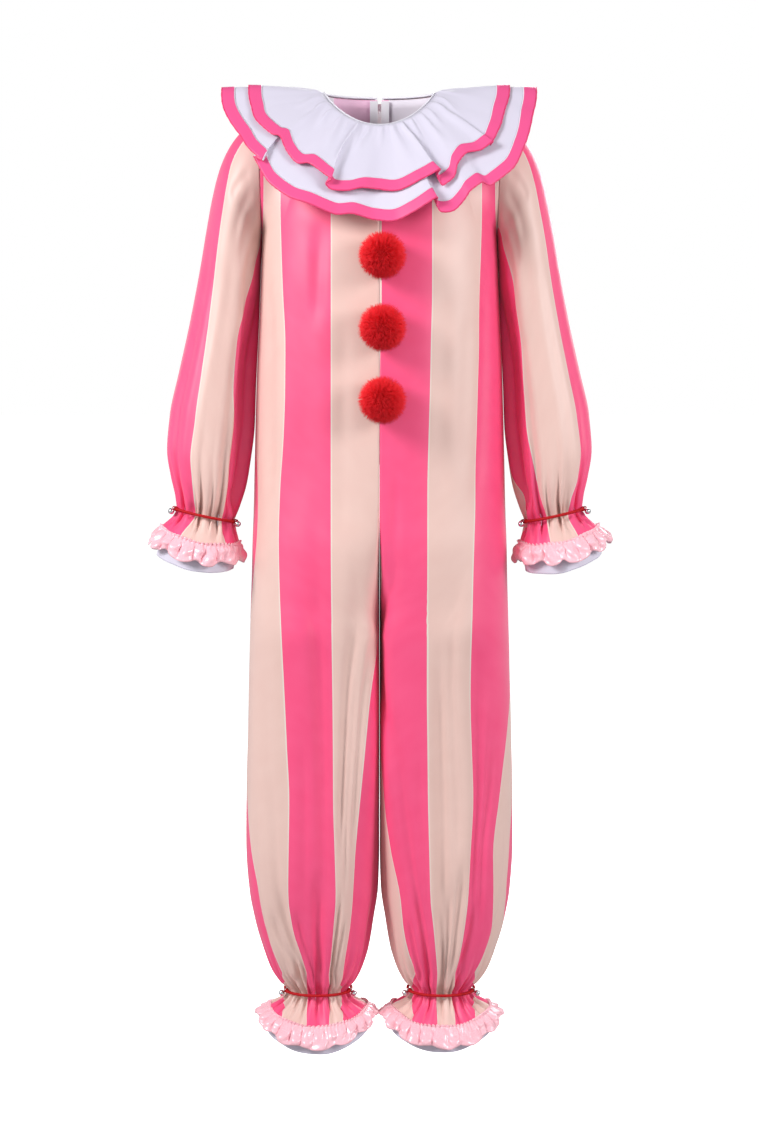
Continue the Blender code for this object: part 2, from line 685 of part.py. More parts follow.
def build_strip(name, inner_x, outer_x, depth_in, thickness, top_z):
    """A strip beside or between the back panels' edges, its outer face depth_in behind theirs."""
    rows = []
    for edge, beside in back_rows():
        z = min(edge.z, top_z)
        row = []
        for x in (inner_x, outer_x):
            share = max(abs(x) - edge.x, 0) / (beside.x - edge.x)
            y = back_line_y(z) + (beside.y - edge.y) * share - depth_in / math.cos(back_slope(z))
            row.append(Vector((x, y, z)))
        rows.append(row)
    if rows[1][0].z == rows[0][0].z:
        rows.pop(0)
    mesh = sheet_mesh(name, rows, False, lambda point: Vector((point.x, 0, point.z)))
    return thicken(add_object(name, mesh, WHITE), thickness)


def box(name, size, place, finish):
    bpy.ops.mesh.primitive_cube_add(size=1, location=Vector(place) * MM)
    made = take_primitive(name, finish)
    made.data.transform(Matrix.Diagonal((*(Vector(size) * MM), 1)))
    return made


def cross_bar(name, radius, length, place, finish):
    """A cylinder along x."""
    bpy.ops.mesh.primitive_cylinder_add(
        vertices=ROUND_SIDES, radius=radius * MM, depth=length * MM, location=Vector(place) * MM,
        rotation=(0, math.pi / 2, 0))
    return take_primitive(name, finish)


def build_pull_tab(hinge):
    """The tab that swings on the slider's bar, leaning as the back below it does."""
    tab = cross_bar("zip_pull_tab", TAB_EYE_OUTER, TAB_EYE_WIDTH, (0, 0, 0), WHITE)
    tab.data.transform(Matrix.Rotation(math.pi / 2, 4, "Y"))
    tab.rotation_euler = (0, 0, 0)
    shank_length = TAB_EYE_OUTER + SHANK_REACH
    shank_z = -TAB_EYE_INNER - OVERLAP - shank_length / 2
    shank = box("shank", (TAB_EYE_WIDTH, TAB_THICKNESS, shank_length), (0, 0, shank_z), WHITE)
    plate_z = -TAB_EYE_INNER - shank_length - TAB_LENGTH / 2 + OVERLAP
    plate = box("plate", (TAB_WIDTH, TAB_THICKNESS, TAB_LENGTH), (0, 0, plate_z), WHITE)
    hole = cross_bar("hole", TAB_EYE_INNER, 2 * TAB_EYE_WIDTH, (0, 0, 0), WHITE)
    cut_or_join(tab, shank, "UNION")
    cut_or_join(tab, plate, "UNION")
    cut_or_join(tab, hole, "DIFFERENCE")
    tab.location = hinge * MM
    tab.rotation_euler.x = back_slope(hinge.z - TAB_LENGTH)


def build_zip():
    """Two tapes behind the back panels, the chain between them, the slider and its swinging tab."""
    tape_depth = CLOTH + 2 * LAYER
    slider_depth, slider_height = SLIDER_SIZE[1:]
    build_strip("zip_tape_left", TAPE_INNER, TAPE_OUTER, tape_depth, TAPE_THICKNESS, ZIP_TOP_Z)
    build_strip("zip_tape_right", -TAPE_INNER, -TAPE_OUTER, tape_depth, TAPE_THICKNESS, ZIP_TOP_Z)
    chain_top = SLIDER_Z - slider_height / 2 - LAYER
    build_strip("zip_chain", -CHAIN_HALF_WIDTH, CHAIN_HALF_WIDTH, CHAIN_DEPTH, CHAIN_THICKNESS, chain_top)
    back_y = back_line_y(chain_top) + LAYER
    middle_y = back_y + slider_depth / 2
    slider = box("zip_slider", SLIDER_SIZE, (0, middle_y, SLIDER_Z), WHITE)
    hinge_y = back_y + slider_depth + TAB_EYE_OUTER + LAYER
    hinge = Vector((0, hinge_y, SLIDER_Z + slider_height / 2 - TAB_EYE_OUTER))
    lug_depth = hinge.y - middle_y + BAR_RADIUS + LUG_REACH
    for side in (LEFT, RIGHT):
        x = side * (LUG_SPACING + LUG_WIDTH) / 2
        lug_size = (LUG_WIDTH, lug_depth, LUG_HEIGHT)
        lug = box("lug", lug_size, (x, middle_y + lug_depth / 2, hinge.z), WHITE)
        cut_or_join(slider, lug, "UNION")
    bar = cross_bar("bar", BAR_RADIUS, LUG_SPACING + LUG_WIDTH, hinge, WHITE)
    cut_or_join(slider, bar, "UNION")
    build_pull_tab(hinge)


# ---------------------------------------------------------------- whole garment
clear_scene()
GARMENT = new_collection("clown_jumpsuit")
PINK = material("pink", 0.75, sheen=0.3)
WHITE = material("white", 0.7, sheen=0.2)
SATIN = material("satin", 0.35)
TRIM = material("trim", 0.6)
RED = material("red", 0.85, sheen=0.5)
SILVER = material("silver", 0.25, metallic=1.0)

for side, word in ((LEFT, "left"), (RIGHT, "right")):
    build_body_panel(side, FRONT)
    build_body_panel(side, BACK)
    build_sleeve(side, "sleeve_" + word)
    build_limb_end(side, "cuff_" + word, WRIST_BAND, WRIST_RUFFLE)
    build_limb_end(side, "ankle_" + word, ANKLE_BAND, ANKLE_RUFFLE)
    wrist_tie, ankle_tie = WRIST_RINGS[WRIST_TIE], ANKLE_LEVELS[ANKLE_TIE]
    wrist_folds, ankle_folds = SLEEVE_COLUMNS, 2 * BODY_COLUMNS
    build_tie(side, "cuff_" + word, wrist_tie, wrist_folds)
    build_tie(side, "ankle_" + word, ankle_tie, ankle_folds)
    build_bell(side, f"bell_cuff_{word}_outer", wrist_tie, 1, wrist_folds)
    build_bell(side, f"bell_cuff_{word}_inner", wrist_tie, wrist_folds // 2 - 1, wrist_folds)
    build_bell(side, f"bell_ankle_{word}_outer", ankle_tie, 1, ankle_folds)
    build_bell(side, f"bell_ankle_{word}_inner", ankle_tie, ankle_folds // 2 - 1, ankle_folds)
build_tier(upper=False)
build_tier(upper=True)
build_binding()
for number, z in enumerate(POMPOM_Z, 1):
    build_pompom(number, z)
build_zip()
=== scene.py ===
"""Looks of the clown jumpsuit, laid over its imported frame.

Striped cloth panels and sleeves with their gathers and creases, a collar of two gathered tiers, satin
ruffles over plain hems, corded ties with bells, three fur pompoms and the zip at the centre back.
Sizes are in millimetres. The wearer's left is +X and the front is -Y.
"""

import json
import math
from collections import namedtuple

import bpy
import numpy as np
from mathutils import Matrix, Vector
from mathutils.bvhtree import BVHTree


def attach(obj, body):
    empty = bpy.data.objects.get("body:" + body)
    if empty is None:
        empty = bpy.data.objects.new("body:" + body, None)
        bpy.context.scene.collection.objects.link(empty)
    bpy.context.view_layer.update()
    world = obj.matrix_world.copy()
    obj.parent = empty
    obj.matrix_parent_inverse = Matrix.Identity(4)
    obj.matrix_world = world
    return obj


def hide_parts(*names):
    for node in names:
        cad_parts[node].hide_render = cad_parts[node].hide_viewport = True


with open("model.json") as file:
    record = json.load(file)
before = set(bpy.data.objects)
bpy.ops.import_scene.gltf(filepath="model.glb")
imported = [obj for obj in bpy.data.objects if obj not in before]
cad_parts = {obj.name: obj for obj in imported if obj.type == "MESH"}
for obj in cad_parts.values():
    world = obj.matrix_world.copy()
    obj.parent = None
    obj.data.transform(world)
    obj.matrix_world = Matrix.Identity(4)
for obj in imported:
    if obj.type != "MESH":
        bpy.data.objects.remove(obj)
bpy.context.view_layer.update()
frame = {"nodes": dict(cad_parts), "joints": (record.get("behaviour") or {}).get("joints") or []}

MM = 0.001
FRONT, BACK = -1, 1
LEFT, RIGHT = 1, -1
WALL, THIN_WALL, TRIM_WALL = 0.8, 0.6, 1.9  # thickness of the shells of cloth, thin bands and folded ribbons
STRIPE = 72.5  # width of each printed stripe
# points round or across each kind of sheet
PANEL_COLUMNS, SLEEVE_COLUMNS, BAND_COLUMNS, RUFFLE_COLUMNS, TIER_COLUMNS = 121, 192, 128, 440, 541


def rows(kind, *values):
    """The rows of a table, from a plain tuple for each."""
    return [kind(*row) for row in values]


# ---------------- sizes shared with the solids
NECK_HALF_WIDTH, NECK_HALF_DEPTH = 80.0, 62.0
NECK_SIDE_Z, NECK_SCOOP, SCOOP_POWER = -7.5, 52.0, 1.6
SHOULDER_TIP_Z, ARMPIT_Z = -42.0, -205.0
ARMHOLE_X, ARMHOLE_HALF_DEPTH, ARMHOLE_FADE = 168.0, 62.0, 3
NECK_SHARE = 0.6  # how much of a panel's top row is neckline
ZIP_END_Z, ZIP_EDGE = -540.0, 2.9  # the zip's lower end and the half gap between the cloth's edges
BODY_SQUARENESS, LEG_SQUARENESS, INSEAM_SQUARENESS = 2.3, 2.25, 6.0
FLAT_LEG_Z, ROUND_LEG_Z = -950.0, -1170.0  # between them the inner half of the leg turns round
SEAM = 0.15  # how far each panel stays off the centre and the side seams

# a level section of half the body and one leg: x of its outer and inner sides, depth to the front and
# back, how far it is split into a leg and how far its front and back hang below its sides
Level = namedtuple("Level", "z outer inner front back split drop")
LEVELS = rows(
    Level, (ARMPIT_Z, 168, 0, 117, 111, 0, 0), (-300, 171.4, 0, 126, 112, 0, 0),
    (-420, 177, 0, 127, 110, 0, 0), (ZIP_END_Z, 180.5, 0, 125, 112, 0, 0),
    (-600, 182, 0, 127, 118, 0.03, 0), (-652, 184, 0.2, 133, 130, 0.15, 0),
    (-698, 185, 0.2, 131, 134, 0.36, 0), (-738, 186, 0.2, 125, 128, 0.64, 0),
    (-776, 187, 0.2, 117, 120, 1, 0), (-840, 189, 0.2, 108, 111, 1, 0), (-920, 191.5, 0.2, 101, 105, 1, 0),
    (-1010, 194, 0.2, 96, 99, 1, 0), (-1090, 195, 0.2, 94, 96, 1, 0), (-1150, 191.5, 1.6, 90, 92, 1, 0),
    (-1200, 182, 8.5, 83, 85, 1, 0), (-1240, 170.5, 15, 74, 75, 1, 0), (-1270, 159.5, 24, 63, 64, 1, 0),
    (-1291, 146, 35, 52, 53, 1, 0), (-1303, 135.5, 44.5, 43, 43, 1, 1), (-1312, 140, 41, 47, 47, 1, 4),
    (-1328, 164, 16, 69, 69, 1, 19), (-1336, 167.5, 12.5, 73, 73, 1, 24),
)
ANKLE_TIE_LEVEL = 18
ANKLE_TIE = LEVELS[ANKLE_TIE_LEVEL]
# the top and the hem of each plain band and each ruffle
ANKLE_BAND = rows(Level, (-1329.6, 161.5, 18.5, 66.5, 66.5, 1, 19.2), (-1352, 170, 12, 77, 76, 1, 29))
ANKLE_RUFFLE = rows(Level, (-1326.4, 163.6, 16.4, 68.8, 68.8, 1, 18.4), (-1341, 180.5, 2.6, 87, 87, 1, 31))

# a slanting section of a sleeve: x and z of its inner and outer sides, half its depth, how far it hangs
# forward and how far its front and back hang below
Ring = namedtuple("Ring", "in_x in_z out_x out_z depth forward drop")
RINGS = rows(
    Ring, (168.3, ARMPIT_Z - 0.8, 168.3, SHOULDER_TIP_Z + 0.2, 62, 0, 0), (168.7, -214, 197, -60, 64, 0, 0),
    (169, -223, 217, -86, 65, 0, 0), (169.5, -236, 230, -116, 65, 1, 0), (170.2, -254, 240, -155, 64, 1, 0),
    (171.1, -280, 249, -204, 63, 2, 0), (172.6, -318, 258, -258, 62, 3, 0),
    (175.1, -370, 272, -328, 63, 5, 0), (177.6, -426, 289, -402, 65, 8, 0),
    (179.2, -480, 303, -462, 66, 11, 0), (185, -530, 308, -514, 65, 14, 0),
    (191, -566, 303, -550, 60, 16, 0), (201, -598, 295, -580, 48, 18, 0), (208, -617, 293, -597, 37, 19, 1),
    (206.5, -626, 297, -606, 41, 19, 3), (201.4, -649.6, 315, -624.4, 55, 20, 10),
    (199.6, -661, 321, -635, 59.5, 20, 10.4),
)
WRIST_TIE_RING = 13
WRIST_BAND = rows(Ring, (204.5, -652.2, 311.5, -627.2, 52, 20, 10.4), (208, -686, 322, -661, 59, 20, 12))
WRIST_RUFFLE = rows(Ring, (200.4, -648.6, 316, -623, 55.8, 20, 10), (196, -675, 332, -648, 69, 20, 11))

# ---------------- stripes
CROTCH_PRINT_Z, CROTCH_PRINT_FADE = -690.0, 50.0  # where the crotch's edge moves to the inseam, and over what
EDGE_FADE = 110.0  # height over which an edge comes to the first row that states it
# x of the stripes' edges on the front, measured from the centre line; crotch_edge: where the centre
# stripe ends on the inside of the leg; side_edge: where the third stripe ends towards the outseam
StripeEdges = namedtuple("StripeEdges", "z crotch_edge first second side_edge")
RIGHT_EDGES = rows(
    StripeEdges, (-180, None, 66.9, 140, None), (-300, None, 67.1, 135.6, None),
    (-360, None, 67.2, 132.8, None), (-430, None, 67.3, 133.5, None), (-500, None, 67.4, 136.2, None),
    (-570, None, 67.5, 140.9, None), (-640, None, 67.3, 142.6, None), (-700, 1, 67.1, 141.6, None),
    (-780, 3, 66.5, 138.6, None), (-860, 13.7, 65.8, 135.2, None), (-940, 21.5, 65.4, 131.9, None),
    (-1010, 28.1, 65.2, 129, 193), (-1090, 35.1, 62.9, 130.3, 185.5), (-1150, 38.3, 61.3, 131.3, 175.8),
    (-1200, 42.5, 64.8, 126, 168.2), (-1240, 49.4, 68.6, 113.9, 152), (-1270, 53.5, 72.7, 105.5, 140),
)
LEFT_EDGES = rows(
    StripeEdges, (-180, None, 74, 143.5, None), (-300, None, 74, 141.2, None),
    (-360, None, 72.6, 141.3, None), (-430, None, 71.2, 139.7, None), (-500, None, 69.2, 137.9, None),
    (-570, None, 67.7, 135.3, None), (-640, None, 67.6, 132.7, None), (-700, None, 67.7, 131, None),
    (-780, None, 67.8, 129.9, None), (-860, None, 67.9, 129.3, 190), (-940, 1, 68.7, 131.6, 181.2),
    (-1010, 5, 69.5, 133.9, 171.8), (-1090, 16.2, 71.2, 130.2, 162.6), (-1150, 28, 72.5, 127.4, 164),
    (-1200, 32.5, 77.3, 121.7, 163.8), (-1240, 38.7, 80.6, 115.6, 152), (-1270, 46.2, 82.7, 109.1, 139),
)
# the side edge above the rows that state it, as a share of the cloth from the second edge to the
# outseam; on the right front the cloth turns in at the hip
SideShare = namedtuple("SideShare", "z share")
RIGHT_FRONT_SHARES = rows(
    SideShare, (-205, 0.80), (-480, 0.78), (-560, 0.56), (-630, 0.50), (-690, 0.60), (-770, 0.84),
    (-870, 0.97), (-1010, 1),
)
RIGHT_BACK_SHARES = rows(SideShare, (-205, 0.80), (-600, 0.80), (-800, 0.92), (-1010, 1))
LEFT_SHARES = rows(SideShare, (-205, 0.80), (-540, 0.80), (-700, 0.90), (-860, 1))
# below the left knee the cloth of the front turns in: where the stripe after the side edge ends, as a
# share of the cloth from there to the outseam
KNEE_SHARES = rows(
    SideShare, (-985, 1), (-1020, 0.72), (-1055, 0.55), (-1101, 0.47), (-1141, 0.43), (-1180, 0.47),
    (-1205, 0.66), (-1226, 1),
)
# where the front stripe's two edges cross each of the sleeve's rings, as shares from inside to outside
SleeveEdges = namedtuple("SleeveEdges", "ring inner outer")
SLEEVE_RIGHT_EDGES = rows(
    SleeveEdges, (0, 0.02, 0.93), (1, 0.03, 0.88), (2, 0.03, 0.835), (3, 0.045, 0.77), (4, 0.07, 0.74),
    (5, 0.11, 0.73), (6, 0.17, 0.72), (7, 0.27, 0.70), (8, 0.255, 0.675), (9, 0.195, 0.66),
    (10, 0.165, 0.68), (11, 0.17, 0.69), (12, 0.185, 0.70), (13, 0.19, 0.69), (15, 0.15, 0.735),
)
SLEEVE_LEFT_EDGES = rows(
    SleeveEdges, (0, 0.06, 0.93), (1, 0.08, 0.89), (2, 0.08, 0.85), (3, 0.09, 0.815), (4, 0.12, 0.80),
    (5, 0.165, 0.815), (6, 0.21, 0.825), (7, 0.25, 0.825), (8, 0.225, 0.825), (9, 0.22, 0.825),
    (10, 0.25, 0.84), (11, 0.30, 0.82), (12, 0.33, 0.76), (13, 0.36, 0.74), (15, 0.38, 0.72),
)

# ---------------- creases and gathers
# a crease runs from (across, along) to (end_across, end_along); on the body across is a distance from
# the first stripe's edge and along is z; on a sleeve across is degrees round and along is the ring
Crease = namedtuple("Crease", "across along end_across end_along half_width depth")
FRONT_RIGHT_CREASES = rows(
    Crease, (-33, -640, -17, -1120, 9, 7.2), (-44, -780, -33, -1160, 6, 3.5),
    (20, -560, 19, -1265, 12, 7.2), (100, -760, 92, -1260, 12, 5.1), (46, -225, 40, -620, 22, 2.7),
    (15, -185, 23, -345, 11, 3.3), (-18, -300, -14, -660, 12, 2.1), (104, -225, 96, -610, 14, 3.6),
    (52, -880, 47, -1255, 9, 3.8), (-58, -720, -60, -1100, 7, 3.2), (31, -1110, 25, -1300, 8, 7.5),
    (64, -1165, 52, -1300, 7, 6), (-14, -1140, -10, -1300, 7, 6.5), (86, -1130, 78, -1300, 9, 6),
    (-40, -1180, -34, -1300, 6, 5), (112, -1170, 100, -1300, 8, 5),
)
FRONT_LEFT_CREASES = rows(
    Crease, (16, -760, 20, -1245, 11, 8), (38, -690, 46, -1130, 8, 3.8), (80, -700, 84, -1230, 11, 6.4),
    (-48, -700, -31, -1245, 9, 4.5), (14, -235, 19, -620, 17, 2.4), (88, -215, 76, -610, 13, 3.9),
    (-44, -520, -50, -790, 8, 2.7), (110, -860, 104, -1265, 9, 4.5), (52, -300, 50, -560, 12, 1.8),
    (-12, -900, -8, -1240, 7, 3.2), (36, -1120, 30, -1300, 8, 7.5), (58, -1090, 50, -1300, 9, 7),
    (10, -1160, 12, -1300, 6, 5.5), (-30, -1130, -22, -1300, 8, 6.5), (92, -1150, 80, -1300, 8, 6),
    (-56, -1180, -46, -1300, 6, 5),
)
BACK_CREASES = rows(
    Crease, (-40, -560, -24, -1150, 10, 6.7), (10, -640, 14, -1255, 13, 7.7),
    (64, -590, 58, -1240, 11, 5.4), (102, -700, 96, -1265, 10, 4.8), (30, -215, 26, -560, 20, 3),
    (84, -230, 78, -640, 15, 3.9), (-22, -260, -30, -520, 12, 2.2), (36, -860, 34, -1180, 8, 3.5),
)
SLEEVE_CREASES = rows(
    Crease, (96, 3.4, 92, 11.6, 11, 2.6), (70, 5.2, 66, 12.2, 8, 2.0), (132, 2.6, 122, 11.8, 12, 3.2),
    (158, 2.2, 156, 10.5, 13, 3.0), (40, 4.0, 44, 12.0, 12, 2.4), (12, 6.0, 10, 12.2, 10, 2.0),
    (-30, 3.2, -34, 11.8, 12, 2.8), (-66, 4.4, -62, 12.0, 10, 2.2), (-104, 3.0, -100, 11.6, 13, 3.2),
    (-142, 2.4, -146, 11.0, 12, 2.8), (84, 0.5, 70, 3.2, 7, 1.6), (104, 0.6, 92, 4.6, 8, 2.2),
    (126, 0.7, 108, 5.4, 9, 2.8), (146, 0.9, 124, 6.2, 8, 2.6), (-88, 0.5, -76, 3.6, 8, 2.0),
    (-112, 0.7, -96, 5.0, 9, 2.5), (-138, 0.9, -116, 6.0, 9, 2.8),
)
ELBOW_FOLD = 16.0  # how deep the sleeve folds inwards beside the body
LEG_GATHERS_Z, SLEEVE_GATHERS_RING = -700.0, 7  # where gathers start
YOKE_PLAIN_Z = -30.0  # the cloth has no creases above this
YOKE_ROWS = 16  # rows of points above the armpit
# the valleys between gathers at a tie: how far each departs from even spacing, in shares of it, how
# far its valley runs up the limb, and its depth there
Gather = namedtuple("Gather", "shift length depth")
GATHERS = rows(
    Gather, (0.00, 46, 5.5), (0.14, 24, 4.6), (-0.12, 78, 6.2), (0.06, 30, 4.4), (-0.16, 40, 5.4),
    (0.10, 120, 7.0), (-0.04, 26, 4.6), (0.18, 52, 5.6), (-0.10, 34, 4.8), (0.02, 96, 6.6), (0.13, 28, 4.4),
    (-0.15, 44, 5.2), (0.05, 70, 6.2), (-0.08, 22, 4.4), (0.16, 110, 6.8), (-0.02, 36, 5.0),
    (0.09, 56, 5.8), (-0.14, 26, 4.6), (0.11, 84, 6.4), (-0.06, 32, 4.8),
)
WRIST_GATHERS, ANKLE_GATHERS = 16, 20
# one of the sets of gathers at a tie: how many, depth and length in shares of the table's, half width in
# shares of their spacing, their reach below the tie and how far they lean in shares of their depth
GatherSet = namedtuple("GatherSet", "count depth length half_width fall lean")
# a gathered ribbon: how many deep loops, smaller puffs and fine frills go round it, how far its hem
# rises between loops and how far its loops swing in and out
Ruffle = namedtuple("Ruffle", "loops puffs frills rise swing")
WRIST_LOOPS, ANKLE_LOOPS = Ruffle(10, 23, 60, 3.4, 5.6), Ruffle(12, 31, 88, 2.0, 4.6)
HEADING_RISE = 15.0  # a ribbon's height above its stitched line, for a share of 1

# ---------------- collar
# the collar's plain form by turns from the centre front: its slope at the neck and at the hem in degrees,
# and its length from one to the other
CollarLine = namedtuple("CollarLine", "turn slope_in slope_out reach")
COLLAR_LINES = rows(
    CollarLine, (0, 54, 68, 152), (30, 46, 58, 150), (60, 22, 38, 147), (76, 3, 22, 145), (90, -9, 8, 144),
    (105, -7, 16, 144), (125, 8, 40, 145), (150, 22, 60, 147), (180, 30, 70, 148),
)
COLLAR_STEPS = 8  # steps that the slope changes in
COLLAR_GAP, BINDING_GAP = 6.5, 3.6  # half the split at the back
# how far the upper tier lies off the lower: at the neck, what it gains by the hem, and at least
TIER_CLEARANCE, TIER_SPREAD, TIER_GAP = 1.9, 2.1, 2.2
LOWER_START = (1.5, 1.8)  # outwards and upwards from the neckline
BINDING_PLACE, BINDING_POINTS = (-1.4, 2.7), 520  # from the neckline in the same way
TRIM_WIDTH, TRIM_STANDOFF = 19.0, 0.75
BARE_ROWS, TRIM_ROWS = 20, 8  # rows of points down to the ribbon and over it
CALM_COLUMNS = 45  # how many of a tier's lines its turns are averaged over
# the cut of each tier, and its ribbon's length in metres
Tier = namedtuple("Tier", "name flat area ribbon")
TIERS = rows(Tier, ("collar_lower", (0.47, 0.47), 0.155, 1.55), ("collar_upper", (0.38, 0.38), 0.095, 1.30))
FOLD_GROWTH = 1.4  # a power: how the folds grow from the neck to the hem
# the hem of each tier, by stations round it: cut is where the station's line leaves the neck, turn is
# the way that it heads at the hem, both in degrees from the centre front, length is from neck to hem and
# lift is how far the hem stands off the collar's plain slope. Where turn goes back the cloth folds over
HemStation = namedtuple("HemStation", "cut turn length lift")
LOWER_HEM = rows(
    HemStation, (-180, -180, 149, 4), (-172, -171, 150, 3), (-165, -163, 148, 9), (-160, -156, 147, 14),
    (-156, -159, 149, 6), (-150, -152, 151, 3), (-142, -142, 150, 5), (-134, -132, 147, 12),
    (-128, -125, 146, 14), (-124, -128, 148, 6), (-118, -119, 149, 3), (-108, -108, 147, 5),
    (-98, -97, 145, 7), (-90, -87.7, 143, 7), (-82, -76, 145, 6), (-75, -63.9, 144, 8),
    (-70, -54.5, 150, 12), (-66, -45.5, 152, 15), (-62, -54.5, 152, 6), (-59, -51.9, 157, 2),
    (-52, -45.2, 168, 2), (-43, -38, 170, 4), (-34, -30.3, 166, 7), (-24, -20, 165, 4), (-15, -9.4, 157, 8),
    (-6, 2.3, 159, 3), (2, 11.8, 163, 3), (10, 20.6, 159, 9), (18, 29.7, 153, 18), (23, 27.9, 160, 7),
    (27, 27.6, 170, 4), (34, 31.2, 177, 4), (41, 34.5, 171, 8), (45, 36.3, 165, 12), (51, 40.8, 163, 10),
    (58, 43.6, 175, 5), (66, 51.1, 175, 6), (75, 60.5, 161, 8), (84, 75.7, 144, 6), (92, 89, 142, 7),
    (100, 101, 145, 6), (110, 112, 147, 11), (117, 120, 148, 14), (121, 116, 149, 6), (127, 125, 150, 3),
    (136, 136, 149, 6), (145, 147, 148, 12), (150, 152, 148, 13), (154, 149, 150, 6), (160, 158, 150, 3),
    (170, 170, 149, 5), (180, 180, 149, 4),
)
UPPER_HEM = rows(
    HemStation, (-180, -180, 107, 5), (-172, -172, 108, 6), (-164, -166, 106, 11), (-160, -160, 106, 13),
    (-156, -161, 108, 6), (-149, -151, 109, 4), (-140, -140, 107, 7), (-130, -131, 106, 11),
    (-122, -120, 105, 12), (-117, -121, 107, 6), (-110, -112, 106, 5), (-100, -100, 105, 3),
    (-90, -86, 105, 1), (-82, -72.6, 107, 3), (-76, -62.3, 112, 9), (-67, -50.9, 110, 11),
    (-61, -48.2, 104, 12), (-56, -44, 113, 6), (-48, -38.9, 119, 5), (-38, -34.7, 110, 9),
    (-29, -26.1, 117, 13), (-22, -24, 122, 16), (-19, -32.1, 128, 7), (-15, -30.6, 132, 4),
    (-9, -24.1, 128, 5), (-2, -15.7, 118, 7), (4, -6.1, 115, 4), (10, 11.4, 119, 4), (16, 25.3, 116, 9),
    (22, 35.1, 115, 17), (27, 30.3, 119, 8), (31, 30.6, 135, 4), (37, 35.8, 131, 5), (43, 37.2, 117, 9),
    (50, 40.3, 112, 11), (58, 46.7, 122, 9), (64, 50.4, 125, 14), (68, 49.2, 126, 6), (74, 58.1, 116, 6),
    (84, 71.8, 105, 3), (92, 88, 104, 1), (100, 101, 105, 3), (109, 111, 106, 9), (117, 121, 106, 13),
    (121, 117, 108, 6), (128, 127, 109, 4), (138, 138, 107, 8), (147, 149, 106, 12), (152, 146, 108, 6),
    (160, 158, 108, 4), (170, 170, 108, 6), (180, 180, 107, 5),
)
# soft ridges that fan out from the gathered neck: cut at the neck, how far they drift round by their
# end, length, half width in degrees and height
Ridge = namedtuple("Ridge", "cut drift length half_width height")
COLLAR_RIDGES = rows(
    Ridge, (-171, -2, 60, 3.0, 2.6), (-158, 2, 84, 3.4, 3.2), (-143, -3, 52, 2.6, 2.4),
    (-127, 1, 90, 3.8, 3.4), (-112, -2, 58, 2.8, 2.6), (-97, 2, 74, 3.2, 2.8), (-84, -3, 88, 3.0, 2.6),
    (-72, -2, 62, 2.4, 2.4), (-61, 3, 92, 3.2, 3.2), (-49, -2, 56, 2.2, 2.6), (-37, 2, 84, 3.0, 2.8),
    (-28, -1, 48, 2.0, 2.2), (-19, -3, 118, 2.2, 5.0), (-9, -2, 66, 2.4, 2.4), (2, 1, 50, 2.2, 2.0),
    (12, 3, 94, 2.8, 3.0), (21, 2, 104, 2.2, 4.4), (31, -2, 64, 2.4, 2.6), (41, 3, 90, 2.8, 3.2),
    (50, 1, 54, 2.2, 2.4), (60, 3, 98, 3.0, 3.6), (71, -2, 62, 2.6, 2.6), (83, 2, 80, 3.0, 2.8),
    (96, -1, 56, 2.8, 2.4), (109, 2, 88, 3.4, 3.2), (124, -2, 60, 2.8, 2.6), (139, 2, 82, 3.4, 3.2),
    (155, -2, 54, 2.8, 2.4), (170, 1, 76, 3.0, 2.8),
)
NECK_PLEATS = 92  # fine puckers round the neck's stitches

# ---------------- pompoms, ties and zip
POMPOM_X, POMPOM_Z = 4.0, (-244.0, -343.0, -443.0)
POMPOM_RADIUS, POMPOM_STANDOFF, PELT_RADIUS = 33.0, 27.0, 19.0
POMPOM_SEAT = POMPOM_STANDOFF - 1.2  # where the pile is pressed flat by the cloth behind it
STRANDS, TUFTS = 6800, 620
CORD_RADIUS, CORD_CLEARANCE = 2.1, 1.2
CORD_POINTS, CORD_SIDES, CORD_TWISTS = 400, 12, 60
WRAP_RADIUS, WRAP_PLACE = 2.5, 2.3  # the wraps of cord at each side of a bell's eye
BELL_RADIUS, BELL_DROP, BELL_EYE, BELL_WIRE = 4.5, 7.7, 3.25, 0.55
SLOT_REACH = 2.6  # from the middle of a bell's slot to the middle of its round end
TOOTH_PITCH = 1.5
BELL_JOINTS = [joint for joint in frame["joints"] if joint["child"].startswith("bell")]


# ---------------- reading tables
def smooth(xs, ys, at):
    """A curve through a table that never overshoots between its rows."""
    xs, ys, at = np.asarray(xs, float), np.asarray(ys, float), np.asarray(at, float)
    if xs[0] > xs[-1]:
        xs, ys = xs[::-1], ys[::-1]
    step = np.diff(xs)
    slope = np.diff(ys) / step
    tangent = np.concatenate([[slope[0]], np.zeros(len(xs) - 2), [slope[-1]]])
    product = slope[:-1] * slope[1:]
    total = slope[:-1] + slope[1:]
    tangent[1:-1] = np.where(product > 0, 2 * product / np.where(total == 0, 1, total), 0)
    at = np.clip(at, xs[0], xs[-1])
    k = np.clip(np.searchsorted(xs, at) - 1, 0, len(step) - 1)
    t = (at - xs[k]) / step[k]
    return ((2 * t**3 - 3 * t**2 + 1) * ys[k] + (t**3 - 2 * t**2 + t) * step[k] * tangent[k]
            + (3 * t**2 - 2 * t**3) * ys[k + 1] + (t**3 - t**2) * step[k] * tangent[k + 1])


def column(table, name):
    return [getattr(row, name) for row in table]


def read(table, name, at):
    """A column of a table, read smoothly at places in the table's first column."""
    return smooth(column(table, table[0]._fields[0]), column(table, name), at)


def between(table, at):
    """The row at a place between two rows of a table, counted in rows."""
    kind = type(table[0])
    return kind(*[float(smooth(range(len(table)), column(table, name), at)) for name in kind._fields])


def ease(value):
    """0 below 0, 1 above 1 and a smooth step between."""
    value = np.clip(value, 0, 1)
    return value * value * (3 - 2 * value)


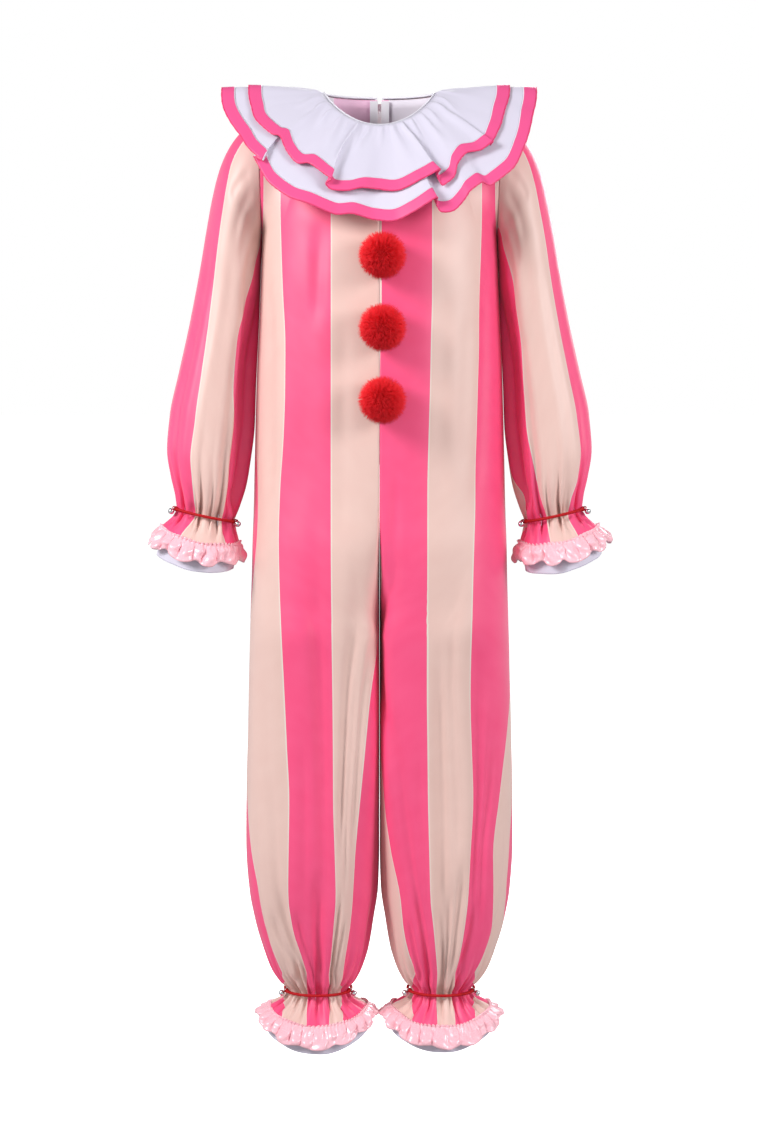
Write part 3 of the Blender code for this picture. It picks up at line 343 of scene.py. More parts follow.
def plateau(value, start, full, falling, end):
    """0 up to start, 1 from full to falling, 0 from end on, and smooth steps between."""
    return ease((value - start) / (full - start)) * ease((end - value) / (end - falling))


# ---------------- grids of points
def unit(vectors):
    return vectors / np.linalg.norm(vectors, axis=-1, keepdims=True)


def full_turn(count, start=0.0):
    """Evenly spaced turns all the way round."""
    return 2 * np.pi * (np.arange(count) + start) / count


def uneven(turn, count, seed):
    """A phase that goes round count times with uneven spacing."""
    return (count * turn + 0.55 * np.sin(3 * turn + seed) + 0.45 * np.sin(5 * turn + 2.1 * seed)
            + 0.3 * np.sin(7 * turn + 0.7 * seed))


def distance_along(points, axis=0):
    """How far each point lies along its line from the line's start."""
    steps = np.linalg.norm(np.diff(points, axis=axis), axis=-1)
    start = np.zeros_like(steps.take([0], axis=axis))
    return np.concatenate([start, np.cumsum(steps, axis=axis)], axis=axis)


def wrapped(grid):
    """A closed grid with its first column again after its last."""
    return np.concatenate([grid, grid[:, :1]], axis=1)


def way_round(grid, closed):
    """The way along a grid's rows, which may be closed round its columns."""
    if closed:
        return np.roll(grid, -1, axis=1) - np.roll(grid, 1, axis=1)
    return np.gradient(grid, axis=1)


def sheet_normals(grid, closed):
    """The unit normals of a grid of points."""
    normals = np.cross(way_round(grid, closed), np.gradient(grid, axis=0))
    return normals / np.maximum(np.linalg.norm(normals, axis=2, keepdims=True), 1e-9)


def pressed(grid, closed, inside, depth, lean):
    """A grid pressed in from its outer side, away from the points inside it, and leaned round its rows."""
    normals = sheet_normals(grid, closed)
    if np.sum(normals * (grid - inside)) < 0:
        normals = -normals
    return grid - normals * depth[..., None] + unit(way_round(grid, closed)) * lean[..., None]


def grid_quads(shape, closed_round, closed_along=False):
    """The four corners of each face between a grid's points."""
    numbers = np.arange(shape[0] * shape[1]).reshape(shape)
    beside = np.roll(numbers, -1, axis=1)
    quads = np.stack([numbers, beside, np.roll(beside, -1, axis=0), np.roll(numbers, -1, axis=0)], axis=-1)
    return quads[:None if closed_along else -1, :None if closed_round else -1].reshape(-1, 4)


# ---------------- pieces
def link(item):
    bpy.context.scene.collection.objects.link(item)
    return item


def new_piece(name, points, faces, material):
    """A piece with points in millimetres."""
    mesh = bpy.data.meshes.new(name)
    mesh.from_pydata((np.reshape(points, (-1, 3)) * MM).tolist(), [], faces)
    mesh.materials.append(material)
    return link(bpy.data.objects.new(name, mesh))


def taken_apart(piece):
    """A piece's points in millimetres and its faces; the piece itself goes."""
    points = np.array([vertex.co for vertex in piece.data.vertices]) / MM
    faces = [list(face.vertices) for face in piece.data.polygons]
    bpy.data.objects.remove(piece, do_unlink=True)
    return points, faces


def wear(piece, solid=None, body="garment"):
    """Rides a piece on a body, in the place of its solid where it has one."""
    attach(piece, body)
    if solid:
        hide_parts(solid)


def wear_sheet(piece, solid):
    wear(piece, solid)


def activate(piece):
    """Makes a piece the active one and the only one selected."""
    for item in bpy.context.selected_objects:
        item.select_set(False)
    piece.select_set(True)
    bpy.context.view_layer.objects.active = piece


def apply_modifiers(piece):
    activate(piece)
    for modifier in list(piece.modifiers):
        bpy.ops.object.modifier_apply(modifier=modifier.name)


def make_consistent(piece):
    activate(piece)
    bpy.ops.object.mode_set(mode="EDIT")
    bpy.ops.mesh.select_all(action="SELECT")
    bpy.ops.mesh.normals_make_consistent(inside=False)
    bpy.ops.object.mode_set(mode="OBJECT")


def cloth_mesh(name, grid, uv, closed, inside, material, wall=WALL, wrong_side=None):
    """A shell of cloth through a grid of points, its wall inside them, with its own map in metres.

    The map of a closed grid has one column more than its points.
    """
    quads = grid_quads(grid.shape[:2], closed)
    corners = np.stack([uv[:-1, :-1], uv[:-1, 1:], uv[1:, 1:], uv[1:, :-1]], axis=2).reshape(-1, 4, 2)
    points = grid.reshape(-1, 3)
    outward = points - np.broadcast_to(inside, grid.shape).reshape(-1, 3)
    start = points[quads[:, 0]]
    facing = np.cross(points[quads[:, 1]] - start, points[quads[:, 3]] - start)
    if np.sum(facing * outward[quads[:, 0]]) < 0:
        quads, corners = quads[:, ::-1], corners[:, ::-1]
    piece = new_piece(name, points, quads.tolist(), material)
    layer = piece.data.uv_layers.new(name="cloth")
    layer.data.foreach_set("uv", (corners * MM).astype(np.float32).ravel())
    piece.data.shade_smooth()
    thicken = piece.modifiers.new("wall", "SOLIDIFY")
    thicken.thickness = wall * MM
    thicken.offset = -1
    if wrong_side:
        piece.data.materials.append(wrong_side)
        thicken.material_offset = 1
    apply_modifiers(piece)
    return piece


def tube_mesh(name, path, radii, sides, closed, material, twist=0.0):
    """A round or lobed tube along a path: radii is one for all, for each point or for each side."""
    path = np.asarray(path, float)
    ahead = np.roll(path, -1, axis=0) - np.roll(path, 1, axis=0)
    if not closed:
        ahead[0], ahead[-1] = path[1] - path[0], path[-1] - path[-2]
    ahead = unit(ahead)
    up = unit(np.cross(ahead, [0, 0, 1.0]))
    aside = np.cross(ahead, up)
    angles = full_turn(sides) + twist * np.arange(len(path))[:, None]
    ring = up[:, None] * np.cos(angles)[..., None] + aside[:, None] * np.sin(angles)[..., None]
    points = path[:, None] + ring * np.broadcast_to(radii, angles.shape)[..., None]
    faces = grid_quads(angles.shape, True, closed).tolist()
    if not closed:
        numbers = list(range(angles.size))
        faces += [numbers[:sides][::-1], numbers[-sides:]]
    piece = new_piece(name, points, faces, material)
    make_consistent(piece)
    piece.data.shade_smooth()
    return piece


# ---------------- finishes
def colour(code):
    """A hex sRGB colour as linear red, green, blue and alpha."""
    channels = [int(code[i:i + 2], 16) / 255 for i in (1, 3, 5)]
    return (*[c / 12.92 if c <= 0.04045 else ((c + 0.055) / 1.055) ** 2.4 for c in channels], 1.0)


def node(tree, kind, inputs=None, **settings):
    """Adds a node with its settings and its inputs, each a value or another node's output."""
    made = tree.nodes.new(kind)
    for key, value in settings.items():
        setattr(made, key, value)
    for key, value in (inputs or {}).items():
        if isinstance(value, bpy.types.NodeSocket):
            tree.links.new(value, made.inputs[key])
        else:
            made.inputs[key].default_value = value
    return made


def maths(tree, operation, *values):
    return node(tree, "ShaderNodeMath", dict(enumerate(values)), operation=operation).outputs[0]


def ranged(tree, value, start, end, low, high):
    """A value mapped from start and end onto low and high, and held beyond them."""
    return node(tree, "ShaderNodeMapRange", {"Value": value, "From Min": start, "From Max": end,
                                             "To Min": low, "To Max": high}).outputs["Result"]


def mixed(tree, share, first, second):
    """Two colours, each a hex code or an output, mixed by a share."""
    first, second = (colour(value) if isinstance(value, str) else value for value in (first, second))
    # inputs 6 and 7 and output 2 are the node's colours
    return node(tree, "ShaderNodeMix", {"Factor": share, 6: first, 7: second}, data_type="RGBA").outputs[2]


def noise(tree, places, size_mm, detail):
    return node(tree, "ShaderNodeTexNoise",
                {"Vector": places, "Scale": 1000 / size_mm, "Detail": detail}).outputs["Fac"]


def cloth_map(tree):
    return node(tree, "ShaderNodeUVMap", uv_map="cloth").outputs["UV"]


def object_places(tree):
    return node(tree, "ShaderNodeTexCoord").outputs["Object"]


def finish(name, code, roughness, **sockets):
    """A material with a plain shader, and its node tree and shader to add patterns to."""
    made = bpy.data.materials.new(name)
    made.use_nodes = True
    tree = made.node_tree
    shader = tree.nodes["Principled BSDF"]
    for key, value in {"Base_Color": code, "Roughness": roughness, **sockets}.items():
        value = colour(value) if isinstance(value, str) else value
        shader.inputs[key.replace("_", " ")].default_value = value
    return made, tree, shader


def bump(tree, shader, height, depth_mm, strength):
    made = node(tree, "ShaderNodeBump", {"Height": height, "Distance": depth_mm * MM, "Strength": strength})
    tree.links.new(made.outputs["Normal"], shader.inputs["Normal"])


def grained(name, code, roughness, places_of, grain_mm, depth_mm, **sockets):
    """A plain material with a fine uneven grain, as bump."""
    made, tree, shader = finish(name, code, roughness, **sockets)
    bump(tree, shader, noise(tree, places_of(tree), grain_mm, 2.0), depth_mm, 0.45)
    return made


def striped_crepe(name, pinks, creams, line_code, roughness):
    """Printed polyester crepe: a soft, faintly lustrous face, broad pink and cream stripes, fine grain."""
    made, tree, shader = finish(name, pinks[0], roughness, Sheen_Weight=0.18, Sheen_Roughness=0.45,
                                Specular_IOR_Level=0.42, Sheen_Tint="#FFE3EA")
    places = cloth_map(tree)
    across = node(tree, "ShaderNodeSeparateXYZ", {"Vector": places}).outputs["X"]
    count = maths(tree, "DIVIDE", across, STRIPE * MM)
    odd = maths(tree, "FLOORED_MODULO", maths(tree, "FLOOR", count), 2.0)
    share = maths(tree, "FRACT", count)
    edge = maths(tree, "MINIMUM", share, maths(tree, "SUBTRACT", 1.0, share))
    # the pale line where two printed stripes meet is about 1.4 mm wide
    line = ranged(tree, edge, 0.5 / STRIPE, 1.0 / STRIPE, 1.0, 0.0)
    # dye takes a little unevenly, in patches of about 30 mm
    patches = noise(tree, places, 30.0, 1.0)
    striped = mixed(tree, odd, mixed(tree, patches, *pinks), mixed(tree, patches, *creams))
    tree.links.new(mixed(tree, line, striped, line_code), shader.inputs["Base Color"])
    # threads are about 0.3 mm apart, drawn at 0.8 mm so that the grain shows
    bump(tree, shader, noise(tree, places, 0.8, 2.0), 0.10, 0.45)
    return made


def pink_ribbon():
    """Grosgrain-like ribbon: bright pink, with a white stitched upper edge and a rolled dark hem."""
    made, tree, shader = finish("pink_polyester_ribbon", "#E9568F", 0.42, Specular_IOR_Level=0.5)
    places = cloth_map(tree)
    down = node(tree, "ShaderNodeSeparateXYZ", {"Vector": places}).outputs["Y"]
    upper = ranged(tree, down, 1.1 * MM, 1.5 * MM, 1.0, 0.0)
    lower = ranged(tree, down, (TRIM_WIDTH - 1.4) * MM, (TRIM_WIDTH - 0.9) * MM, 0.0, 1.0)
    edged = mixed(tree, upper, "#E9568F", "#E6E3EE")
    tree.links.new(mixed(tree, lower, edged, "#D8326A"), shader.inputs["Base Color"])
    # the ribbon's ribs are 0.5 mm apart, drawn at 1 mm
    ribs = node(tree, "ShaderNodeTexWave", {"Vector": places, "Scale": 1000 / 1.0 / 6.28},
                wave_type="BANDS", bands_direction="X")
    bump(tree, shader, ribs.outputs["Fac"], 0.05, 0.4)
    return made


def pale_satin():
    """Polyester satin ribbon: pale pink with bright, tight highlights from its gloss, and painted paler and
    deeper streaks.
    """
    made, tree, shader = finish("pale_pink_satin", "#FFB3C4", 0.25, Specular_IOR_Level=0.8,
                                Sheen_Weight=0.2, Anisotropic=0.35)
    # painted highlights and shade: paler and deeper pink streaks about 2 mm wide, where floats of thread
    # would catch the light
    painted_light_streaks = noise(tree, cloth_map(tree), 2.0, 1.0)
    tree.links.new(mixed(tree, painted_light_streaks, "#F8ADBD", "#FFD0DA"), shader.inputs["Base Color"])
    return made


def red_fur():
    """Acrylic long pile: red, with painted shade that makes it deeper at the roots and brighter at the tips.
    """
    made, tree, shader = finish("red_acrylic_pile", "#C00D18", 0.62, Sheen_Weight=0.1, Sheen_Tint="#FF5A5A")
    reach = node(tree, "ShaderNodeAttribute", attribute_name="reach").outputs["Fac"]
    # painted shade: the reach attribute darkens the pile towards its roots
    tree.links.new(mixed(tree, reach, "#EC0315", "#FF1529"), shader.inputs["Base Color"])
    return made


def nickel():
    """Nickel-plated steel: bright, with fine scuffs."""
    made, tree, shader = finish("nickel_plate", "#D9DBDF", 0.2, Metallic=1.0)
    scuffs = noise(tree, object_places(tree), 1 / 0.9, 3.0)
    tree.links.new(ranged(tree, scuffs, 0.0, 1.0, 0.14, 0.3), shader.inputs["Roughness"])
    return made


STRIPED = striped_crepe("striped_polyester_crepe", ("#F04A7D", "#F45787"),
                        ("#DEBAB1", "#E2C1B8"), "#DDD9CE", 0.44)
# the print hardly shows through to the back of the cloth
WRONG_SIDE = striped_crepe("striped_crepe_wrong_side", ("#EDBAD8", "#EFC2DC"),
                           ("#DFD7E3", "#E3DCE7"), "#E8DFE6", 0.6)
# white polyester crepe: matt, with a cool tint
WHITE = grained("white_polyester_crepe", "#D2CDDE", 0.6, cloth_map, 1.1, 0.1, Sheen_Weight=0.15)
RIBBON, SATIN, FUR, NICKEL = pink_ribbon(), pale_satin(), red_fur(), nickel()
# braided polyester cord: matt red, its strands shaped in the mesh
CORD = grained("red_braided_cord", "#B30713", 0.65, object_places, 0.9, 0.1, Specular_IOR_Level=0.3)
# woven zip tape: white, matt and finely ribbed
TAPE = grained("white_zip_tape", "#F5F2F9", 0.7, object_places, 0.8, 0.1)
# moulded nylon and the enamelled slider: white and slightly glossy
NYLON = grained("white_zip_nylon", "#F8F6FB", 0.35, object_places, 1.5, 0.03)
# polyester thread, overlocked over the ribbon's hem
HEM_THREAD = finish("overlocked_thread", "#DD3A6E", 0.7)[0]
# the same white crepe where it is rolled tight at the neck
WHITE_PLAIN = finish("white_rolled_cloth", "#E8E5EF", 0.55, Sheen_Weight=0.15)[0]


# ---------------- the form of the body
def neck_points(turn):
    """Points of the neckline, turn degrees round from the centre front."""
    angle = np.radians(turn)
    scoop = NECK_SCOOP * np.maximum(np.cos(angle), 0) ** SCOOP_POWER
    return np.stack([NECK_HALF_WIDTH * np.sin(angle), -NECK_HALF_DEPTH * np.cos(angle),
                     NECK_SIDE_Z - scoop], axis=-1)


def level_at(z):
    """The section's sizes at a height, read smoothly between the levels."""
    return Level(z, *[float(read(LEVELS, name, z)) for name in Level._fields[1:]])


def level_points(level, face, across):
    """Points of a half body's section: across is 0 at the centre or inseam and 1 at the outseam."""
    depth = level.front if face == FRONT else level.back
    power = 2 / BODY_SQUARENESS
    angle = across * math.pi / 2
    torso_x = level.outer * np.sin(angle) ** power
    torso_y = face * depth * np.abs(np.cos(angle)) ** power
    middle, half = (level.outer + level.inner) / 2, (level.outer - level.inner) / 2
    power = 2 / LEG_SQUARENESS
    angle = across * math.pi
    leg_x = middle - half * np.sign(np.cos(angle)) * np.abs(np.cos(angle)) ** power
    leg_y = face * depth * np.abs(np.sin(angle)) ** power
    # the upper leg's cloth stays flat until it turns in sharply at the inseam
    reach = np.clip((middle - leg_x) / half, 0, 1)
    flat = face * depth * (1 - reach ** INSEAM_SQUARENESS) ** (1 / INSEAM_SQUARENESS)
    flatness = float(ease((level.z - ROUND_LEG_Z) / (FLAT_LEG_Z - ROUND_LEG_Z)))
    leg_y = np.where(leg_x < middle, leg_y + (flat - leg_y) * flatness, leg_y)
    x = torso_x + (leg_x - torso_x) * level.split
    y = torso_y + (leg_y - torso_y) * level.split
    y = np.where(np.abs(y) < SEAM, face * SEAM, y)
    z = level.z - level.drop * np.sin(angle) ** 2
    return np.stack([np.maximum(x, SEAM), y, z], axis=-1)


def shoulder_line(face, across):
    """The neckline and then the shoulder seam out to its tip."""
    if across < NECK_SHARE:
        turn = 90 * across / NECK_SHARE
        return neck_points(turn if face == FRONT else 180 - turn)
    start, tip = neck_points(90), np.array([ARMHOLE_X, 0, SHOULDER_TIP_Z])
    return start + (tip - start) * (across - NECK_SHARE) / (1 - NECK_SHARE)


def yoke_row(face, across, down):
    """A row between the shoulder line and the armpit's level, shaped to the armhole near its edge."""
    chest = level_points(LEVELS[0], face, across)
    top = np.array([shoulder_line(face, share) for share in across])
    row = top + (chest - top) * down
    row[:, 1] = top[:, 1] + (chest[:, 1] - top[:, 1]) * math.sin(math.pi / 2 * down)
    middle, half = (SHOULDER_TIP_Z + ARMPIT_Z) / 2, (SHOULDER_TIP_Z - ARMPIT_Z) / 2
    angle = math.pi * down
    armhole = np.array([ARMHOLE_X, face * ARMHOLE_HALF_DEPTH * math.sin(angle),
                        middle + half * math.cos(angle)])
    row += (armhole - row[-1]) * across[:, None] ** ARMHOLE_FADE
    row[:, 0] = np.maximum(row[:, 0], SEAM)
    row[:, 1] = np.where(np.abs(row[:, 1]) < SEAM, face * SEAM, row[:, 1])
    return row


def crease_depth(creases, across, along):
    """How far inwards the creases press the cloth: soft troughs that fade at both of their ends."""
    total = np.zeros_like(across)
    for crease in creases:
        share = (along - crease.along) / (crease.end_along - crease.along)
        middle = crease.across + (crease.end_across - crease.across) * share
        fade = plateau(share, 0, 0.3, 0.78, 1)
        total += crease.depth * fade * np.exp(-((across - middle) / crease.half_width) ** 2)
    return total


def gather_shape(turn, height, number):
    """How far inwards the valleys between gathers lie, and how far they lean round the limb.

    Height is above the tie, or negative below it.
    """
    total, lean = np.zeros_like(turn), np.zeros_like(turn)
    above, below = np.maximum(height, 0), np.maximum(-height, 0)
    gather_sets = rows(
        GatherSet,
        (number, 1.6, 1.4, 0.17, 22, 0.5),  # broad gathers
        (2 * number - 3, 1.0, 0.6, 0.19, 14, 0.3),  # narrower ones between them
        (int(2.6 * number), 0.32, 0.14, 0.24, 6, 0.0),  # fine puckers under the cord
    )
    for each in gather_sets:
        spacing = 2 * np.pi / each.count
        widening = 0.22 * ease(above / (120 * each.length)) + 0.07 * ease(below / 30)
        width = spacing * (each.half_width + widening)
        for k in range(each.count):
            gather = GATHERS[(k if each.count == number else 3 * k + 1) % len(GATHERS)]
            apart = np.abs((turn - (k + 1.3 * gather.shift) * spacing + np.pi) % (2 * np.pi) - np.pi)
            fade = np.exp(-above / (each.length * gather.length) - (below / each.fall) ** 2)
            depth = each.depth * gather.depth * fade * np.exp(-((apart / width) ** 1.5))
            total += depth
            lean += depth * (each.lean if gather.shift > 0 else -each.lean)
    return total, lean


def ripple(across, along):
    """A slight unevenness all over, as cloth has that hangs free."""
    return 0.35 * np.sin(across / 31 + 1.3 * np.sin(along / 90)) + 0.3 * np.sin(along / 67 + across / 45)


# ---------------- front and back panels
def stripe_marks(x, length, z, edges, shares):
    """Where a row's four known edges lie on its cloth and what each is in the print, in order."""
    first, second = (float(np.interp(read(edges, name, z), x, length)) for name in ("first", "second"))
    marks = [(first, 0.0), (second, STRIPE)]
    # above the rows that state them, the crotch's edge lies a stripe back from the first and moves to the
    # inseam, and the side's edge keeps a share of the cloth
    plain_crotch = (first - STRIPE) * (1 - float(ease((CROTCH_PRINT_Z - z) / CROTCH_PRINT_FADE)))
    plain_side = second + float(read(shares, "share", z)) * (length[-1] - second)
    for name, plain, value in (("crotch_edge", plain_crotch, -STRIPE), ("side_edge", plain_side, 2 * STRIPE)):
        stating = [row for row in edges if getattr(row, name) is not None]
        stated = float(np.interp(read(stating, name, z), x, length))
        blend = float(ease((stating[0].z + EDGE_FADE - z) / EDGE_FADE))
        marks.append((plain + (stated - plain) * blend, value))
    return zip(*sorted(marks))


def turned_in(made, length, place, z):
    """A row's stripes where the left front turns in below the knee and its next stripe shows."""
    edge = place + float(read(KNEE_SHARES, "share", z)) * (length[-1] - place)
    turned = np.minimum(2 * STRIPE + (length - place) * STRIPE / max(edge - place, 1), 4 * STRIPE - 3)
    return np.where(length > place, turned, made)


def stripe_positions(grid, side, face):
    """The printed stripes' coordinate in millimetres for each point of a panel."""
    edges, shares = LEFT_EDGES, LEFT_SHARES
    if side == RIGHT:
        edges, shares = RIGHT_EDGES, RIGHT_FRONT_SHARES if face == FRONT else RIGHT_BACK_SHARES
    made = np.zeros(grid.shape[:2])
    for r, row in enumerate(grid):
        length = distance_along(row[:, :2])
        z = row[0, 2]
        places, values = stripe_marks(np.maximum.accumulate(np.abs(row[:, 0])), length, z, edges, shares)
        made[r] = smooth(places, values, length)
        # past the last edges that are known the print keeps about its true width, but shows no further
        # stripe before the outseam, nor on the right before the inseam
        first_scale = min((values[1] - values[0]) / (places[1] - places[0]), 1.1)
        if side == RIGHT and values[0] < 0:
            first_scale = min(first_scale, (STRIPE + 3) / max(places[0], 1))
        last_scale = min((values[-1] - values[-2]) / (places[-1] - places[-2]), 1.05,
                         (STRIPE - 1) / max(length[-1] - places[-1], 1))
        low, high = length < places[0], length > places[-1]
        made[r][low] = values[0] + (length[low] - places[0]) * first_scale
        made[r][high] = values[-1] + (length[high] - places[-1]) * last_scale
        if side == LEFT and face == FRONT and KNEE_SHARES[-1].z < z < KNEE_SHARES[0].z:
            made[r] = turned_in(made[r], length, places[-1], z)
    return made


def build_panel(side, face):
    """A front or back panel from the neckline to the heading under the ankle's tie."""
    word = ("front" if face == FRONT else "back") + ("_left" if side == LEFT else "_right")
    across = np.linspace(0, 1, PANEL_COLUMNS)
    # rows lie closer together where the gathers are
    heights = np.concatenate([np.linspace(ARMPIT_Z, -1160, 58), np.linspace(-1170, -1262, 13),
                              np.linspace(-1267, LEVELS[-1].z, 34)])
    grid = np.array([yoke_row(face, across, down) for down in np.linspace(0, 1, YOKE_ROWS + 1)[:-1]]
                    + [level_points(level_at(z), face, across) for z in heights])
    stripes = stripe_positions(grid, side, face)
    axis = grid * [0, 0, 1] + [NECK_HALF_WIDTH, 0, 0]
    creases = BACK_CREASES
    if face == FRONT:
        creases = FRONT_LEFT_CREASES if side == LEFT else FRONT_RIGHT_CREASES
    level = grid[:, :1, 2] * np.ones(grid.shape[:2])
    turn = np.pi * (1 + face * across) * np.ones(grid.shape[:2])
    gathers, lean = gather_shape(turn, level - ANKLE_TIE.z, ANKLE_GATHERS)
    depth = crease_depth(creases, stripes, level) + ripple(stripes + 40 * side * face, level)
    on_leg = level < LEG_GATHERS_Z
    depth = depth * ease((YOKE_PLAIN_Z - level) / 90) + gathers * on_leg
    # on the body the cloth lies flat along its seams
    seam = np.minimum(across, 1 - across)
    depth *= np.where(on_leg, 1.0, ease(seam / 0.05))
    grid = pressed(grid, False, axis, depth, lean * on_leg * ease(seam / 0.04))
    grid[..., 0] = np.maximum(grid[..., 0], SEAM)
    if face == BACK:
        opening = ZIP_EDGE * ease((grid[:, 0, 2] - ZIP_END_Z) / 6)
        for number in (0, 1):
            grid[:, number, 0] = np.maximum(grid[:, number, 0], opening + 0.4 * number)
    swapped = (side == LEFT) == (face == FRONT)
    uv = np.stack([stripes + (STRIPE if swapped else 0), distance_along(grid)], axis=-1)
    mirror = [side, 1, 1]
    piece = cloth_mesh(word + "_cloth", grid * mirror, uv, False, axis * mirror, STRIPED, WALL, WRONG_SIDE)
    wear_sheet(piece, word)


# ---------------- sleeves and limb ends
def ring_points(ring, turn):
    """Points of a sleeve's ring: turn is 0 on the outside of the arm and a quarter turn at the front."""
    low = np.array([ring.in_x, -ring.forward, ring.in_z])
    high = np.array([ring.out_x, -ring.forward, ring.out_z])
    sine = np.sin(turn)
    points = (low + high) / 2 + (high - low) / 2 * np.cos(turn)[:, None]
    points[:, 1] -= ring.depth * sine
    points[:, 2] -= ring.drop * sine**2
    return points


def leg_ring_points(level, turn):
    """Points of a leg's whole section: turn is 0 at the outseam and a quarter turn at the front."""
    across = np.abs(1 - (turn % (2 * np.pi)) / np.pi)
    made = level_points(level, FRONT, across)
    made[:, 1] = -np.abs(made[:, 1]) * np.where(np.sin(turn) >= 0, 1, -1)
    return made


def spec_points(spec, turn):
    return ring_points(spec, turn) if isinstance(spec, Ring) else leg_ring_points(spec, turn)


def outward_of(spec, turn):
    """The level way out from a limb at each turn, and the way round it."""
    here, ahead, behind = (spec_points(spec, turn + step) for step in (0, 0.02, -0.02))
    along = ahead - behind
    outward = unit(np.cross(along, [0, 0, 1.0]))
    flip = np.sum(outward * (here - spec_points(spec, turn + np.pi)), axis=1) < 0
    outward[flip] *= -1
    return outward, unit(along)


def build_sleeve(side):
    """A set-in sleeve, full above the wrist's tie, with its heading below."""
    word = "sleeve_left" if side == LEFT else "sleeve_right"
    turns = full_turn(SLEEVE_COLUMNS)
    places = np.concatenate([np.linspace(0, 10.6, 64), np.linspace(10.75, len(RINGS) - 1, 46)])
    grid = np.array([ring_points(between(RINGS, place), turns) for place in places])
    middles = grid.mean(axis=1, keepdims=True)
    turn, place = np.meshgrid(turns, places)
    degrees = np.degrees((turn + np.pi) % (2 * np.pi) - np.pi)
    depth = crease_depth(SLEEVE_CREASES, degrees, place) + 0.7 * ripple(degrees * 1.3 + 25 * side, place * 40)
    # the side that lies against the body keeps close to it
    against_body = np.exp(-(((180 - np.abs(degrees)) / 24) ** 4)) * ease((10.5 - place) / 2)
    depth *= ease(place) * (1 - 0.9 * against_body)
    # below the elbow the full cloth folds inwards beside the body, from the inner stripe's edge on
    depth += ELBOW_FOLD * plateau(degrees, 124, 139, 169, 179) * plateau(place, 4.8, 7.8, 11.3, 12.7)
    # the gathers, by each ring's distance above the tie
    tie = middles[np.argmin(np.abs(places - WRIST_TIE_RING))]
    height = np.linalg.norm(middles - tie, axis=2) * np.sign(WRIST_TIE_RING - places)[:, None]
    gathers, lean = gather_shape(turn, height * np.ones_like(turn), WRIST_GATHERS)
    gathered = place > SLEEVE_GATHERS_RING
    grid = pressed(grid, True, middles, depth + gathers * gathered, lean * gathered)
    # the front stripe fills the space between its stated edges, and the others keep their true width
    closed = wrapped(grid)
    edges = SLEEVE_LEFT_EDGES if side == LEFT else SLEEVE_RIGHT_EDGES
    stripes = []
    for inner, outer, length in zip(read(edges, "inner", places), read(edges, "outer", places),
                                    distance_along(closed, axis=1)):
        crossings = [math.acos(2 * outer - 1), math.acos(2 * inner - 1)]
        start, end = np.interp(crossings, np.append(turns, 2 * np.pi), length)
        apart, width = length - start, end - start
        beyond = np.where(apart < width, apart * (STRIPE / width), STRIPE + (apart - width))
        stripes.append(np.where(apart < 0, apart, beyond))
    uv = np.stack([np.array(stripes) + STRIPE, distance_along(closed)], axis=-1)
    mirror = [side, 1, 1]
    piece = cloth_mesh(word + "_cloth", grid * mirror, uv, True, middles * mirror, STRIPED, WALL, WRONG_SIDE)
    wear_sheet(piece, word)


def sew_tube(side, name, grid, material):
    """A closed band of thin cloth in its solid's place."""
    mirror = [side, 1, 1]
    closed = wrapped(grid)
    round_hem = distance_along(closed[-1]) * np.ones((len(grid), 1))
    uv = np.stack([round_hem, distance_along(closed)], axis=-1)
    middles = grid.mean(axis=1, keepdims=True)
    piece = cloth_mesh(name + "_cloth", grid * mirror, uv, True, middles * mirror, material, THIN_WALL)
    wear_sheet(piece, name)


def build_band(side, limb, table, seed):
    """The plain hem layer below a limb's heading, in soft waves."""
    turns = full_turn(BAND_COLUMNS)
    wave = 0.5 + 0.5 * np.cos(uneven(turns, 6, seed))
    droop = 0.7 * np.sin(uneven(turns, 3, seed + 1)) + 1.6 * np.cos(turns - 1.1 * seed)
    grid = []
    for share in np.linspace(0, 1, 15):
        spec = between(table, share)
        points = spec_points(spec, turns) - outward_of(spec, turns)[0] * (2.4 * share**1.3 * wave)[:, None]
        points[:, 2] -= share * droop
        grid.append(points)
    sew_tube(side, limb + "_hem_band", np.array(grid), WHITE)


